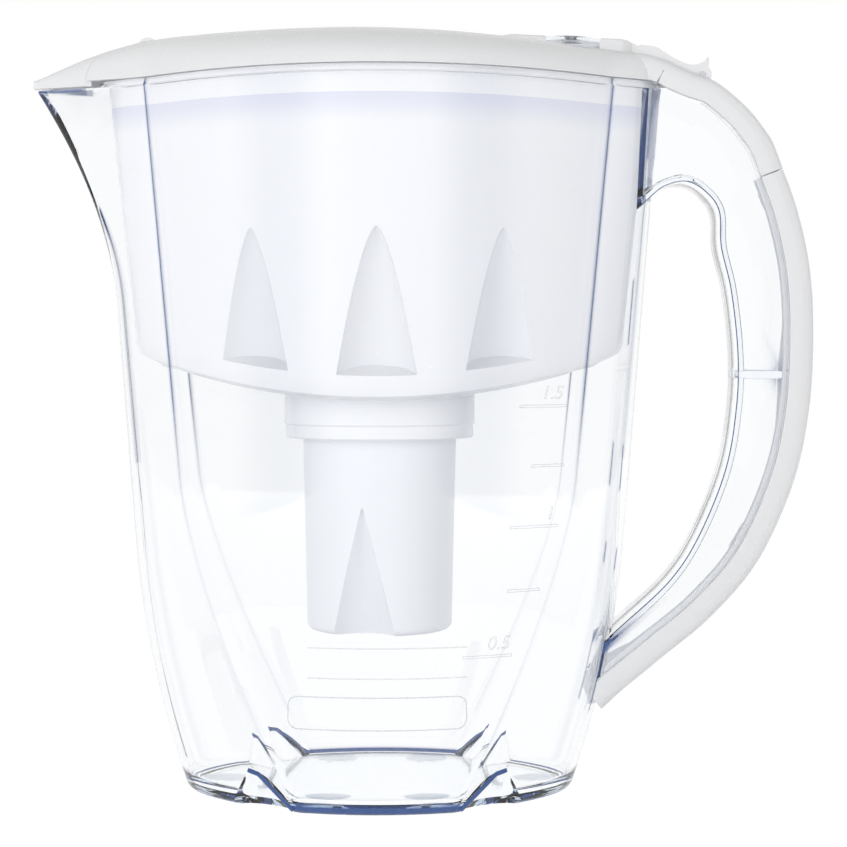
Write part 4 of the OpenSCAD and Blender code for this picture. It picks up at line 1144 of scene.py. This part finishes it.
def milky_plastic():
    f = Finish("milky hopper plastic")
    cloud, grain = f.noise(14, 3.0), f.noise(900)
    height = f.make("SeparateXYZ", output="Z", Vector=f.places())
    # painted shade: a lavender band darkens the milky wall just below the rim, for the lid rib's
    # shadow seen through it
    band = f.step(height, BAND_LOW * MM, BAND_HIGH * MM) * (1.0 - height.above(BAND_HIGH * MM))
    milk = f.blend(cloud, (0.985, 0.98, 0.988), (0.995, 0.99, 0.995))
    body = f.plastic(Base_Color=f.blend(band, milk, (0.83, 0.83, 0.92)),
                     Roughness=0.20 + 0.1 * grain, IOR=1.45, Transmission_Weight=0.08,
                     Normal=f.bump(grain, 0.03, 0.0004))
    return f.surface(f.open_to(body, 0.6, (0.96, 0.97, 0.99)))


def white_plastic(name, low, high, rough, bump=0.02):
    f = Finish(name)
    cloud, grain = f.noise(11, 3.0), f.noise(1200)
    return f.surface(f.plastic(Base_Color=f.blend(cloud, low, high), IOR=1.47,
                               Roughness=rough + 0.08 * grain, Normal=f.bump(grain, bump, 0.0003)))


def frosted_mark():
    f = Finish("raised mark")
    grain = f.noise(1500)
    return f.surface(f.plastic(Base_Color=f.blend(grain, (0.70, 0.72, 0.74), (0.78, 0.80, 0.82)),
                               Roughness=0.35 + 0.1 * grain, Alpha=0.5))


def grainy(name, low, high, scale, rough, bump):
    f = Finish(name)
    grain = f.noise(scale, 4.0, 0.65)
    return f.surface(f.plastic(Base_Color=f.blend(grain, low, high), Roughness=rough,
                               Normal=f.bump(grain, bump, 0.0006)))


# ---- the scene
CLEAR = clear_plastic()
PAINTED_DARK_EDGE = painted_dark_edge_plastic()
MILKY = milky_plastic()
WHITE = white_plastic("white gloss plastic", (0.785, 0.79, 0.798), (0.81, 0.814, 0.82), 0.22)
FILTER_WHITE = white_plastic("filter white plastic", (0.93, 0.935, 0.95), (0.945, 0.95, 0.965),
                             0.34, 0.05)
MARK = frosted_mark()
PRINT = grainy("dial print", (0.10, 0.12, 0.16), (0.14, 0.16, 0.2), 700, 0.5, 0.1)
PIN = white_plastic("pin plastic", (0.62, 0.64, 0.67), (0.68, 0.7, 0.73), 0.4)
PLATE = white_plastic("dial plate", (0.72, 0.76, 0.82), (0.76, 0.8, 0.86), 0.45)
SEAL = grainy("seal rubber", (0.62, 0.64, 0.68), (0.7, 0.72, 0.75), 500, 0.55, 0.2)
FELT = grainy("filter felt", (0.78, 0.78, 0.76), (0.9, 0.9, 0.88), 900, 0.95, 0.8)
CARBON = grainy("filter granules", (0.015, 0.015, 0.017), (0.09, 0.09, 0.095), 420, 0.8, 1.0)
PAD = grainy("clear pad", (0.78, 0.84, 0.9), (0.84, 0.89, 0.94), 300, 0.3, 0.1)


def paint(ob, material):
    ob.data.materials.clear()
    ob.data.materials.append(material)


def add(ob, name, body, slot, material, *nodes):
    ob.name = name
    paint(ob, material)
    if nodes:
        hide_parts(*nodes)
    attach(ob, body)


add(make_jug(), "clear_jug", "jug", "clear_plastic", CLEAR, "jug_body", "jug_handle")
add(make_notch_edges(), "foot_edges", "jug", "clear_plastic", PAINTED_DARK_EDGE)
add(make_handle_cover(), "grip_cover", "jug", "white_plastic", WHITE, "handle_cover")
add(make_level_marks(), "level_marks", "jug", "clear_plastic", MARK)
add(make_front_lines(), "front_lines", "jug", "clear_plastic", MARK)
add(make_hopper(), "milky_hopper", "hopper", "milky_plastic", MILKY, "hopper")
add(make_barrel(), "filter_barrel", "cartridge", "white_plastic", FILTER_WHITE, "cartridge_barrel")
add(make_lid(), "white_lid", "lid", "white_plastic", WHITE, "lid_frame")
add(make_spout_flap(), "beak_flap", "spout_flap", "white_plastic", WHITE, "spout_flap")
add(make_flip_lid(), "fill_flap", "flip_lid", "white_plastic", WHITE, "flip_lid")
add(make_dial_numbers(), "dial_numbers", "flip_lid", "pointer_plastic", PRINT)

for node, material in (
        ("foot_pads", PAD), ("cartridge_cap", FILTER_WHITE), ("cartridge_seal", SEAL),
        ("inlet_mesh", FELT), ("carbon_media", CARBON), ("outlet_felt", FELT),
        ("spout_flap_pin", PIN), ("flip_lid_pin", PIN), ("number_plate", PLATE),
        ("dial_cover", CLEAR), ("dial_pointer", PRINT), ("dial_pin", PIN), ("dial_clip", PIN)):
    paint(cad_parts[node], material)


# ---- floor, light and camera
PALE = (1.0, 1.0, 1.0)
MIDDLE = (0, 0, 0.12)                       # what the panels point at
PICTURE, FOCAL, HORIZON = 847, 2090, 352    # side, focal length and eye level, in pixels


def make_floor():
    """A pale floor that looks white but keeps the object's shadow."""
    ob = added("floor", bpy.ops.mesh.primitive_plane_add, size=12, location=(0, 0, -0.0002))
    f = Finish("pale floor")
    share = f.seen() * 0.88
    matt = f.make("BsdfDiffuse", Color=(0.9, 0.9, 0.91))
    glow = f.make("Emission", Color=PALE, Strength=1.075)
    paint(ob, f.surface(f.between(share, matt, glow)))


def dark_card(name, azimuth, width):
    """An upright card, dark in its middle, that draws the edges of clear and glossy plastic."""
    a, distance, height, middle_z = radians(azimuth), 1.2, 1.6, 0.3
    ob = added(name, bpy.ops.mesh.primitive_plane_add, size=1)
    ob.scale = (width, height, 1)
    place(ob)
    ob.rotation_euler = (pi / 2, 0, -a)
    ob.location = (distance * sin(a), distance * cos(a), middle_z)
    f = Finish(name)
    across = f.make("SeparateXYZ", Vector=f.places())
    colour = f.blend(f.step(abs(across) / (width / 2), 0.1, 1.0), (0.03, 0.065, 0.17), PALE)
    paint(ob, f.surface(f.make("Emission", Color=colour, Strength=1.0)))
    ob.visible_camera = ob.visible_diffuse = ob.visible_shadow = False


def make_world():
    """White where it is seen; as a light it is brightest at the horizon."""
    f = Finish("studio", "World")
    bpy.context.scene.world = f.block
    seen = f.seen()
    way = f.make("TexCoord", output="Generated")
    sky = 1.1 - 0.92 * f.make("SeparateXYZ", output="Z", Vector=way).largest(0.0)
    f.surface(f.make("Background", Color=PALE, Strength=seen + (1.0 - seen) * sky))


def panel_light(name, at, size, power):
    ob = added(name, bpy.ops.object.light_add, type="AREA", location=at)
    ob.data.shape = "RECTANGLE"
    ob.data.size, ob.data.size_y = size
    ob.data.energy = power
    ob.rotation_euler = (Vector(MIDDLE) - Vector(at)).to_track_quat("-Z", "Y").to_euler()
    ob.visible_glossy = ob.visible_transmission = False


def make_camera():
    ob = added("Camera", bpy.ops.object.camera_add, location=(0.015, -0.717, 0.1485),
               rotation=(pi / 2, 0, 0))
    ob.data.sensor_width = 36
    ob.data.lens = FOCAL / PICTURE * 36
    ob.data.shift_y = (HORIZON - PICTURE / 2) / PICTURE
    ob.data.clip_end = 50
    bpy.context.scene.camera = ob


make_floor()
make_world()
panel_light("key panel", (-0.9, -1.1, 0.25), (0.9, 0.9), 8.2)
panel_light("fill panel", (0.9, -1.1, 0.25), (0.8, 1.0), 4.7)
panel_light("back panel", (0.3, 1.3, 0.45), (1.2, 0.9), 5.0)
for azimuth, width in ((60, 0.5), (135, 1.0), (225, 1.0), (300, 0.5)):
    dark_card("dark card %d" % azimuth, azimuth, width)
make_camera()
scene = bpy.context.scene
scene.view_settings.view_transform = "Standard"
scene.cycles.max_bounces = scene.cycles.transmission_bounces = 32
